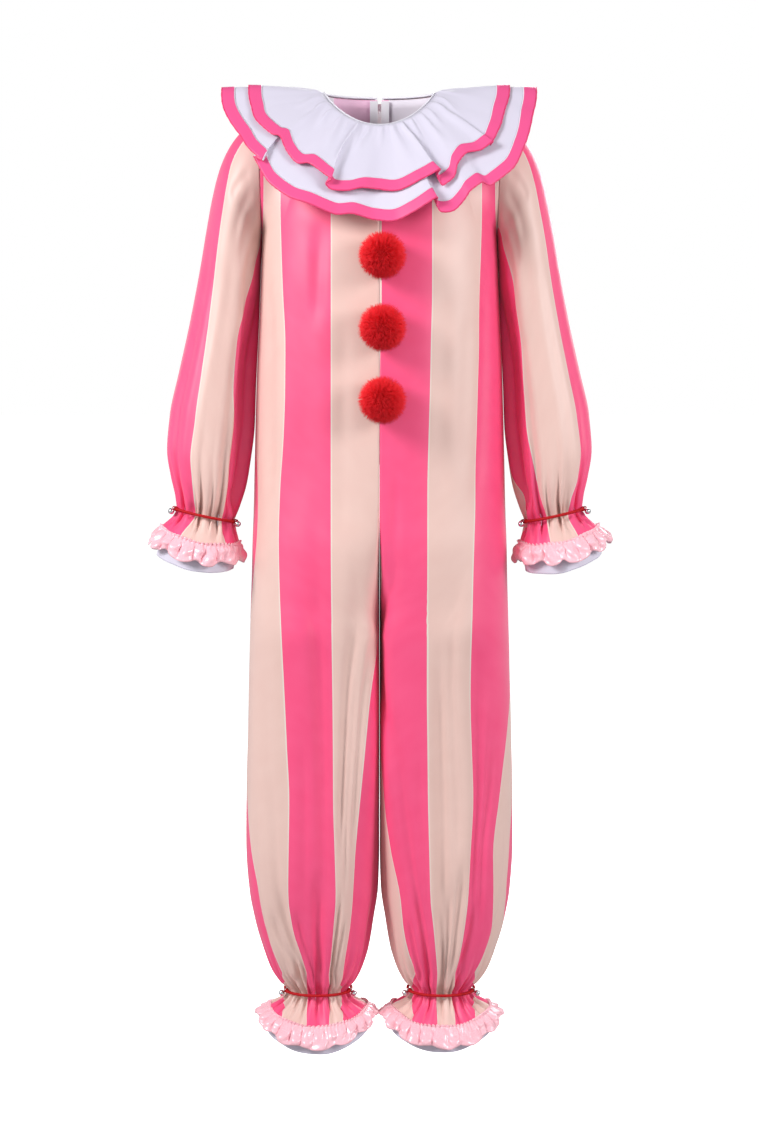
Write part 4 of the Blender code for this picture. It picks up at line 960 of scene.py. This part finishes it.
def build_ruffle(side, limb, table, above, shape, seed):
    """A gathered satin ribbon: a frilled heading, a stitched line and puffs that open into loops."""
    turns = full_turn(RUFFLE_COLUMNS)
    loops, puffs = uneven(turns, shape.loops, seed), uneven(turns, shape.puffs, seed + 1)
    frills = uneven(turns, shape.frills, seed + 0.5)
    strength = 1 + 0.45 * np.sin(2 * turns + seed) + 0.3 * np.sin(5 * turns + 2 * seed)
    top, bottom = spec_points(table[0], turns), spec_points(table[1], turns)
    up = unit(spec_points(above, turns) - top)
    grid = []
    # shares run down from the stitched line to the hem; the heading's are below 0
    for share in np.concatenate([np.linspace(-0.22, 0.0, 5), [0.05, 0.11, 0.19], np.linspace(0.29, 1, 9)]):
        down = min(max(share, 0), 1)
        outward, along = outward_of(between(table, down), turns)
        # how much a row is of the frilled heading, the pinched stitches, the puffs and the open hem
        frill, pinch = float(ease(-share / 0.2)), math.exp(-((share / 0.07) ** 2))
        swell, grow = math.sin(math.pi * down) ** 0.7, float(ease(share / 0.9))
        curl = np.sin(8.0 * share + 0.5 * puffs + 1.9 * np.sin(loops))
        out = 2.1 * frill * np.cos(frills) * strength + pinch * (1.1 * np.cos(frills) - 1.3) + 0.9
        out += swell * (2.2 + 2.9 * np.cos(puffs) * strength + 1.2 * np.cos(frills) * (1 - grow) + 1.7 * curl)
        out += grow * (shape.swing * (0.5 * np.cos(loops) - 0.4) + 0.9 * np.cos(puffs) * strength)
        aside = grow * (0.45 * shape.swing * np.sin(loops) + 0.6 * np.sin(puffs))
        aside += swell * (2.4 * np.sin(puffs) * strength + 0.8 * curl) + 0.9 * frill * np.sin(frills)
        lift = grow * (shape.rise * (0.4 - np.cos(loops)) + 0.9 * np.sin(3 * turns + seed))
        lift += frill * (1.5 * np.sin(frills + 1.0) + 0.9 * np.sin(7 * turns + seed))
        lift -= swell * 0.5 * np.cos(puffs)
        points = top + (up * -HEADING_RISE * share if share < 0 else (bottom - top) * share)
        points += outward * out[:, None] + along * aside[:, None]
        points[:, 2] += lift
        grid.append(points)
    sew_tube(side, limb + "_ruffle", np.array(grid), SATIN)


# ---------------- ties and bells
def build_tie(side, limb, spec, folds):
    """Three strands twisted into a round cord, over the ridges of the gathers."""
    turns = full_turn(folds, 0.5)
    ridges = spec_points(spec, turns) + outward_of(spec, turns)[0] * (CORD_CLEARANCE + CORD_RADIUS)
    ridges = np.concatenate([ridges[-2:], ridges, ridges[:3]])
    path = []
    for place in np.arange(CORD_POINTS) * folds / CORD_POINTS:
        k, t = int(place), place % 1
        a, b, c, d = ridges[k + 1:k + 5]
        path.append(b + (c - b) * t + 0.35 * t * (1 - t) * ((b - a) * (1 - t) - (d - c) * t))
    lobes = CORD_RADIUS * (0.93 + 0.10 * np.abs(np.cos(1.5 * full_turn(CORD_SIDES))))
    piece = tube_mesh(limb + "_tie_cord", np.array(path) * [side, 1, 1], lobes, CORD_SIDES, True, CORD,
                      2 * np.pi * CORD_TWISTS / CORD_POINTS)
    wear(piece, limb + "_tie")


def model_bell():
    """A round bell with a rolled seam, a slot with round ends and a wire eye, hanging down from z 0."""
    centre, bottom = -BELL_DROP * MM, -(BELL_DROP + BELL_RADIUS) * MM
    bpy.ops.mesh.primitive_uv_sphere_add(
        segments=32, ring_count=20, radius=BELL_RADIUS * MM, location=(0, 0, centre))
    bell = bpy.context.object
    bpy.ops.object.transform_apply(location=True, rotation=True, scale=True)
    bpy.ops.object.mode_set(mode="EDIT")
    bpy.ops.mesh.select_mode(type="FACE")
    bpy.ops.mesh.select_all(action="DESELECT")
    bpy.ops.object.mode_set(mode="OBJECT")
    for face in bell.data.polygons:
        face.select = abs(face.center.z - centre) < 0.5 * MM
    bpy.ops.object.mode_set(mode="EDIT")
    bpy.ops.mesh.extrude_region_shrink_fatten(TRANSFORM_OT_shrink_fatten={"value": 0.28 * MM})
    bpy.ops.object.mode_set(mode="OBJECT")
    shell = bell.modifiers.new("shell", "SOLIDIFY")
    shell.thickness = 0.4 * MM
    shell.offset = -1
    apply_modifiers(bell)
    bpy.ops.mesh.primitive_cube_add(size=1, location=(0, 0, bottom))
    # the slot: a narrow cut with a round hole at each end
    cutters = [bpy.context.object]
    cutters[0].scale = (2 * SLOT_REACH * MM, 0.9 * MM, 5.0 * MM)
    for x in (-SLOT_REACH, SLOT_REACH):
        bpy.ops.mesh.primitive_cylinder_add(
            vertices=14, radius=0.85 * MM, depth=6 * MM, location=(x * MM, 0, bottom))
        cutters.append(bpy.context.object)
    for cutter in cutters:
        cut = bell.modifiers.new("slot", "BOOLEAN")
        cut.operation, cut.solver, cut.object = "DIFFERENCE", "EXACT", cutter
        apply_modifiers(bell)
        bpy.data.objects.remove(cutter, do_unlink=True)
    bpy.ops.mesh.primitive_torus_add(major_radius=BELL_EYE * MM, minor_radius=BELL_WIRE * MM,
                                     major_segments=28, minor_segments=10, rotation=(math.pi / 2, 0, 0))
    eye = bpy.context.object
    bpy.ops.object.transform_apply(location=True, rotation=True, scale=True)
    activate(bell)
    eye.select_set(True)
    bpy.ops.object.join()
    make_consistent(bell)
    bpy.ops.object.shade_smooth_by_angle(angle=math.radians(40))
    bell.data.materials.append(NICKEL)
    return bell


def build_bells():
    """A copy of the bell on each hinge, hanging the way its solid does."""
    model = model_bell()
    for joint in BELL_JOINTS:
        name = joint["child"].replace("_swinging", "")
        solid = frame["nodes"][name].data.vertices
        middle = sum((vertex.co for vertex in solid), Vector()) / len(solid)
        pivot, axis = Vector(joint["pos_m"]), Vector(joint["axis"]).normalized()
        up = (pivot - middle).normalized()
        axis = (axis - up * axis.dot(up)).normalized()
        turned = Matrix((axis.cross(up), axis, up)).transposed().to_4x4()
        mesh = model.data.copy()
        mesh.transform(Matrix.Translation(pivot) @ turned)
        wear(link(bpy.data.objects.new(name + "_metal", mesh)), name, joint["child"])
    bpy.data.objects.remove(model, do_unlink=True)


def build_knots():
    """The wraps of cord that hold each bell's eye in its place."""
    turns = full_turn(28)[:, None]
    for joint in BELL_JOINTS:
        pivot, axis = np.array(joint["pos_m"]) / MM, unit(np.array(joint["axis"]))
        first = unit(np.cross(axis, [0, 0, 1.0]))
        ring = WRAP_RADIUS * (first * np.cos(turns) + np.cross(axis, first) * np.sin(turns))
        for number, away in enumerate((-WRAP_PLACE, WRAP_PLACE)):
            name = joint["child"].replace("_swinging", "") + f"_knot_{number}"
            wear(tube_mesh(name, pivot + axis * away + ring, 0.75, 8, True, CORD))


# ---------------- collar
def collar_points(cut, turn, length, lift):
    """Points of a tier: cut is where each leaves the neck, turn the way it heads, and lift raises it."""
    end_turn = 180 - math.degrees(COLLAR_GAP / NECK_HALF_WIDTH)
    mirrored = rows(CollarLine, *[(-line.turn, *line[1:]) for line in COLLAR_LINES[:0:-1]]) + COLLAR_LINES
    slope_in, slope_out, reach = (read(mirrored, name, turn) for name in CollarLine._fields[1:])
    out, fall = np.zeros(length.shape), np.zeros(length.shape)
    for k in range(COLLAR_STEPS):
        share = (k + 0.5) / COLLAR_STEPS
        slope = np.radians(slope_in + (slope_out - slope_in) * share * length / reach)
        out += np.cos(slope) * length / COLLAR_STEPS
        fall += np.sin(slope) * length / COLLAR_STEPS
    slope = np.radians(slope_in + (slope_out - slope_in) * length / reach)
    out += LOWER_START[0] + np.sin(slope) * lift
    fall -= LOWER_START[1] + np.cos(slope) * lift
    heading = np.radians(turn)
    outward = np.stack([out * np.sin(heading), -out * np.cos(heading), -fall], axis=-1)
    return neck_points(cut * end_turn / 180) + outward


def pleats(cut, length):
    """The ridges that fan out from the gathered neck, and the fine puckers along its stitches."""
    cut, length = np.broadcast_arrays(cut, length)
    total = np.zeros(cut.shape)
    for ridge in COLLAR_RIDGES:
        share = length / ridge.length
        middle = ridge.cut + ridge.drift * share
        width = ridge.half_width * (0.75 + 0.6 * share)
        fade = ease(length / 9) * ease((1.0 - share) / 0.55)
        total += ridge.height * fade * np.exp(-((cut - middle) / width) ** 2)
    phase = uneven(np.radians(cut), NECK_PLEATS, 0.4)
    reach = 9 + 3 * np.sin(cut / 11.0) + 2 * np.sin(cut / 4.7)
    return total + (0.5 + 0.5 * np.cos(phase)) * np.exp(-length / reach) * np.minimum(length / 3, 1)


def tier_grid(table, pleat_share, spread):
    """A tier's lines by their cut at the neck, how far along them each point lies, and the points."""
    cuts = np.linspace(-180, 180, TIER_COLUMNS)
    turns, lengths, lifts = (read(table, name, cuts) for name in ("turn", "length", "lift"))
    # near the neck the lines head the way that the folds do on the whole, and the hem's turns grow on it
    half = CALM_COLUMNS // 2
    padded = np.concatenate([turns[0] + cuts[:half] - cuts[half], turns,
                             turns[-1] + cuts[-half:] - cuts[-half - 1]])
    window = np.hanning(CALM_COLUMNS)
    calm = np.convolve(padded, window / window.sum(), "valid")
    calm += (cuts - calm) * ease((np.abs(cuts) - 160) / 20)
    bare = lengths - TRIM_WIDTH
    length = np.array([bare * share for share in np.linspace(0, 1, BARE_ROWS)]
                      + [bare + TRIM_WIDTH * share for share in np.linspace(0, 1, TRIM_ROWS)[1:]])
    share = length / lengths
    turn = calm + (turns - calm) * share**2.4
    turn = cuts + (turn - cuts) * ease(share * 3)
    lift = lifts * share**FOLD_GROWTH + pleats(cuts[None], length) * pleat_share
    lift += spread[0] + spread[1] * share
    return cuts, length, collar_points(cuts[None], turn, length, lift)


def keep_off(grid, below, gap):
    """Moves points that come too near to the sheet below them out along its normals."""
    quads = grid_quads(below.shape[:2], False)[:, [0, 3, 2, 1]]  # wound to face up
    tree = BVHTree.FromPolygons(below.reshape(-1, 3).tolist(), quads.tolist())
    for index in np.ndindex(grid.shape[:2]):
        point = Vector(grid[index])
        near, facing, _, apart = tree.find_nearest(point)
        if apart > 3 * gap:
            continue
        facing = facing if facing.z > 0 else -facing
        short = gap - (point - near).dot(facing)
        if short > 0:
            grid[index] = point + facing * short


def build_tiers():
    """Both tiers of the collar, each with the ribbon along its hem and the ribbon's rolled edge."""
    lower = tier_grid(LOWER_HEM, 0.5, (0, 0))
    upper = tier_grid(UPPER_HEM, 1.0, (TIER_CLEARANCE, TIER_SPREAD))
    keep_off(upper[2], lower[2], TIER_GAP)
    trim = slice(BARE_ROWS - 1, None)
    for (cuts, length, grid), tier in zip((lower, upper), TIERS):
        inside = grid - [0, 0, 400.0]
        round_neck = np.radians(cuts)[None] * 150 * np.ones(length.shape)
        uv = np.stack([round_neck, length], axis=-1)
        piece = cloth_mesh(tier.name + "_cloth", grid, uv, False, inside, WHITE)
        wear_sheet(piece, tier.name)
        normals = sheet_normals(grid, False)
        normals *= np.sign(np.median(normals[2, :, 2]))
        uv = np.stack([round_neck, length - length[BARE_ROWS - 1]], axis=-1)
        piece = cloth_mesh(tier.name + "_trim_cloth", (grid + normals * TRIM_STANDOFF)[trim], uv[trim], False,
                           inside[trim], RIBBON, TRIM_WALL)
        wear_sheet(piece, tier.name + "_trim")
        lumps = 0.85 + 0.22 * np.sin(np.arange(TIER_COLUMNS) * 1.9)[:, None]
        hem = grid[-1] + normals[-1] * 0.1
        wear(tube_mesh(tier.name + "_rolled_edge", hem, lumps, 6, False, HEM_THREAD))


def build_binding():
    """The rolled neck edge, puckered by its stitches."""
    last_turn = 180 - math.degrees(BINDING_GAP / NECK_HALF_WIDTH)
    turns = np.linspace(-last_turn, last_turn, BINDING_POINTS)
    headings = np.radians(turns)
    ahead = np.stack([np.sin(headings), -np.cos(headings), np.zeros(BINDING_POINTS)], axis=-1)
    path = neck_points(turns) + ahead * BINDING_PLACE[0] + [0, 0, BINDING_PLACE[1]]
    pucker = 1.6 + 0.12 * np.sin(uneven(np.linspace(-np.pi, np.pi, BINDING_POINTS), 96, 0.8))[:, None]
    wear(tube_mesh("neck_binding_roll", path, pucker, 10, False, WHITE_PLAIN), "neck_binding")


# ---------------- pompoms
def build_pompom(number, height):
    """A ball of long pile: a core, and thousands of fine strands that lean together in tufts."""
    rng = np.random.default_rng(40 + number)
    # strands leave the pelt evenly all round
    k = np.arange(STRANDS) + 0.5
    polar, spin = np.arccos(1 - 2 * k / STRANDS), np.pi * (1 + 5**0.5) * k
    way = np.stack([np.sin(polar) * np.cos(spin), np.sin(polar) * np.sin(spin), np.cos(polar)], axis=1)
    way = unit(way + rng.normal(0, 0.035, way.shape))
    tufts = unit(rng.normal(size=(TUFTS, 3)))
    nearest = tufts[np.argmax(way @ tufts.T, axis=1)]
    lean = (nearest - way) * rng.uniform(0.40, 1.0, (STRANDS, 1)) + rng.normal(0, 0.07, way.shape)
    lean[:, 2] -= 0.10
    reach = POMPOM_RADIUS * rng.uniform(0.90, 1.10, (STRANDS, 1))
    root = way * PELT_RADIUS
    middle = way * (PELT_RADIUS + (reach - PELT_RADIUS) * 0.55) + lean * 3.2
    tip = unit(way + lean * 0.6) * reach
    # none grow where the ball sits on the cloth
    keep = way[:, 1] < 0.82
    root, middle, tip, way, nearest = (part[keep] for part in (root, middle, tip, way, nearest))
    beside = unit(np.cross(way, rng.normal(size=way.shape)))
    other = np.cross(way, beside)
    rings = []
    for centre, thick in ((root, 0.42), (middle, 0.32)):
        centre[:, 1] = np.minimum(centre[:, 1], POMPOM_SEAT)
        for angle in (0, 2.094, 4.189):
            rings.append(centre + thick * (beside * math.cos(angle) + other * math.sin(angle)))
    tip[:, 1] = np.minimum(tip[:, 1], POMPOM_SEAT)
    points = np.stack([*rings, tip], axis=1)
    strands, corners = points.shape[:2]
    base = np.arange(strands)[:, None] * corners
    quads = np.concatenate([base + [a, b, b + 3, a + 3] for a, b in ((0, 1), (1, 2), (2, 0))])
    triangles = np.concatenate([base + [a, b, 6] for a, b in ((3, 4), (4, 5), (5, 3))])
    bpy.ops.mesh.primitive_ico_sphere_add(subdivisions=4, radius=(PELT_RADIUS + 3.2) * MM)
    core_points, core_faces = taken_apart(bpy.context.object)
    core_points[:, 1] = np.minimum(core_points[:, 1], POMPOM_SEAT)
    core_faces = [[corner + strands * corners for corner in face] for face in core_faces]
    front = -float(read(LEVELS, "front", height))
    every = np.concatenate([points.reshape(-1, 3), core_points]) + [POMPOM_X, front - POMPOM_STANDOFF, height]
    piece = new_piece(f"pompom_{number}_fur", every, quads.tolist() + triangles.tolist() + core_faces, FUR)
    # the fur's colour by how far out along its strand each point lies, with uneven dye; painted shade makes
    # it darker towards the roots and on the core
    shade = rng.uniform(-0.16, 0.16, strands)[:, None] + 0.06 * np.sin(nearest[:, :1] * 9)
    painted_root_shade_levels = np.array([0.05, 0.05, 0.05, 0.5, 0.5, 0.5, 0.95])[None] + shade
    values = np.concatenate([painted_root_shade_levels.ravel(), np.full(len(core_points), 0.1)]).astype(np.float32)
    piece.data.attributes.new("reach", "FLOAT", "POINT").data.foreach_set("value", values)
    piece.data.shade_smooth()
    wear(piece, f"pompom_{number}")


# ---------------- zip
def build_teeth():
    """The zip's two rows of moulded teeth, interlocked down the centre back."""
    points = np.array([vertex.co for vertex in frame["nodes"]["zip_chain"].data.vertices]) / MM
    # the teeth follow the back of the chain's solid
    order = np.argsort(points[:, 2])
    outer = points[points[:, 1] > np.interp(points[:, 2], points[order, 2], points[order, 1]) - 5]
    heights = np.unique(np.round(outer[:, 2], 1))
    backs = np.array([outer[np.abs(outer[:, 2] - z) < 0.2][:, 1].max() for z in heights])
    keep = np.concatenate([[True], np.diff(heights) > 3])
    heights, backs = heights[keep], backs[keep]
    bpy.ops.mesh.primitive_cube_add(size=1)
    bpy.context.object.scale = (2.6 * MM, 1.3 * MM, 0.85 * MM)
    bpy.ops.object.transform_apply(scale=True)
    shape, faces = taken_apart(bpy.context.object)
    shape[:, 0] *= np.where(shape[:, 1] > 0, 0.8, 1.0)
    every, all_faces = [], []
    for k, z in enumerate(np.arange(heights.max() - 1, heights.min() + 1, -TOOTH_PITCH / 2)):
        all_faces += [[corner + len(shape) * k for corner in face] for face in faces]
        every.append(shape + [0.85 if k % 2 else -0.85, float(np.interp(z, heights, backs)) - 0.75, z])
    wear(new_piece("zip_teeth", every, all_faces, NYLON), "zip_chain")


# ---------------- stage
def build_floor():
    """A plain pale floor, out of the light on the garment."""
    bpy.ops.mesh.primitive_plane_add(size=300, location=(0, 0, -1.46))
    floor = bpy.context.object
    floor.name = "floor"
    pale, tree, shader = finish("pale_floor", "#FAFAFA", 0.9, Specular_IOR_Level=0.0,
                                Emission_Strength=0.86, Emission_Color="#FFFFFF")
    mottle = noise(tree, object_places(tree), 500, 2.0)
    tree.links.new(mixed(tree, mottle, "#F8F8F8", "#FCFCFC"), shader.inputs["Base Color"])
    floor.data.materials.append(pale)
    floor.visible_diffuse = False
    floor.visible_glossy = False


def build_surround():
    """White all round and dimmer overhead and below, as in a room of white screens."""
    world = bpy.context.scene.world or bpy.data.worlds.new("surround")
    bpy.context.scene.world = world
    world.use_nodes = True
    sky = world.node_tree
    way = node(sky, "ShaderNodeTexCoord").outputs["Generated"]
    height = node(sky, "ShaderNodeSeparateXYZ", {"Vector": way}).outputs["Z"]
    overhead = ranged(sky, height, 0.17, 0.42, 1.0, 0.15)
    below = ranged(sky, height, -0.10, -0.04, 0.45, 1.0)
    background = sky.nodes["Background"]
    sky.links.new(maths(sky, "MINIMUM", overhead, below), background.inputs["Strength"])
    background.inputs["Color"].default_value = colour("#FFFFFF")


def build_lights():
    """Soft area lights on the left, on the right and behind."""
    for name, energy, size, place, aim in (
            ("key", 113, 1.2, (-2.6, -1.8, 1.1), (0, 0, -0.65)),
            ("fill", 66, 1.2, (2.7, -1.8, 0.5), (0, 0, -0.65)),
            ("back", 75, 1.8, (0.8, 2.8, 0.9), (0, 0, -0.6))):
        light = bpy.data.lights.new(name, "AREA")
        light.energy, light.size = energy, size
        lamp = link(bpy.data.objects.new(name, light))
        lamp.location = place
        lamp.rotation_euler = (Vector(aim) - Vector(place)).to_track_quat("-Z", "Y").to_euler()


def build_camera():
    """The camera in front, a little above the middle and tilted down."""
    lens = bpy.data.cameras.new("camera")
    lens.sensor_fit = "VERTICAL"
    lens.sensor_height = 36
    lens.lens = 76.61
    camera = link(bpy.data.objects.new("camera", lens))
    camera.location = (0, -3.5, -0.4418)
    camera.rotation_euler = (math.radians(86), 0, 0)
    bpy.context.scene.camera = camera
    bpy.context.scene.view_settings.view_transform = "Standard"


for side, word in ((LEFT, "left"), (RIGHT, "right")):
    build_panel(side, FRONT)
    build_panel(side, BACK)
    build_sleeve(side)
    build_tie(side, "cuff_" + word, RINGS[WRIST_TIE_RING], WRIST_GATHERS)
    build_tie(side, "ankle_" + word, ANKLE_TIE, ANKLE_GATHERS)
    build_band(side, "cuff_" + word, WRIST_BAND, 1.0 + side)
    build_band(side, "ankle_" + word, ANKLE_BAND, 2.5 + side)
    build_ruffle(side, "cuff_" + word, WRIST_RUFFLE, RINGS[WRIST_TIE_RING + 1], WRIST_LOOPS, 0.3 + side)
    build_ruffle(side, "ankle_" + word, ANKLE_RUFFLE, LEVELS[ANKLE_TIE_LEVEL + 1], ANKLE_LOOPS, 1.7 + side)
build_bells()
build_knots()
build_tiers()
build_binding()
for number, height in enumerate(POMPOM_Z, 1):
    build_pompom(number, height)
# the small hard parts of the zip stay as they are and only take their finish
for name, material in (("zip_tape_left", TAPE), ("zip_tape_right", TAPE),
                       ("zip_slider", NYLON), ("zip_pull_tab", NYLON)):
    mesh = frame["nodes"][name].data
    mesh.materials.clear()
    mesh.materials.append(material)
build_teeth()
build_floor()
build_surround()
build_lights()
build_camera()
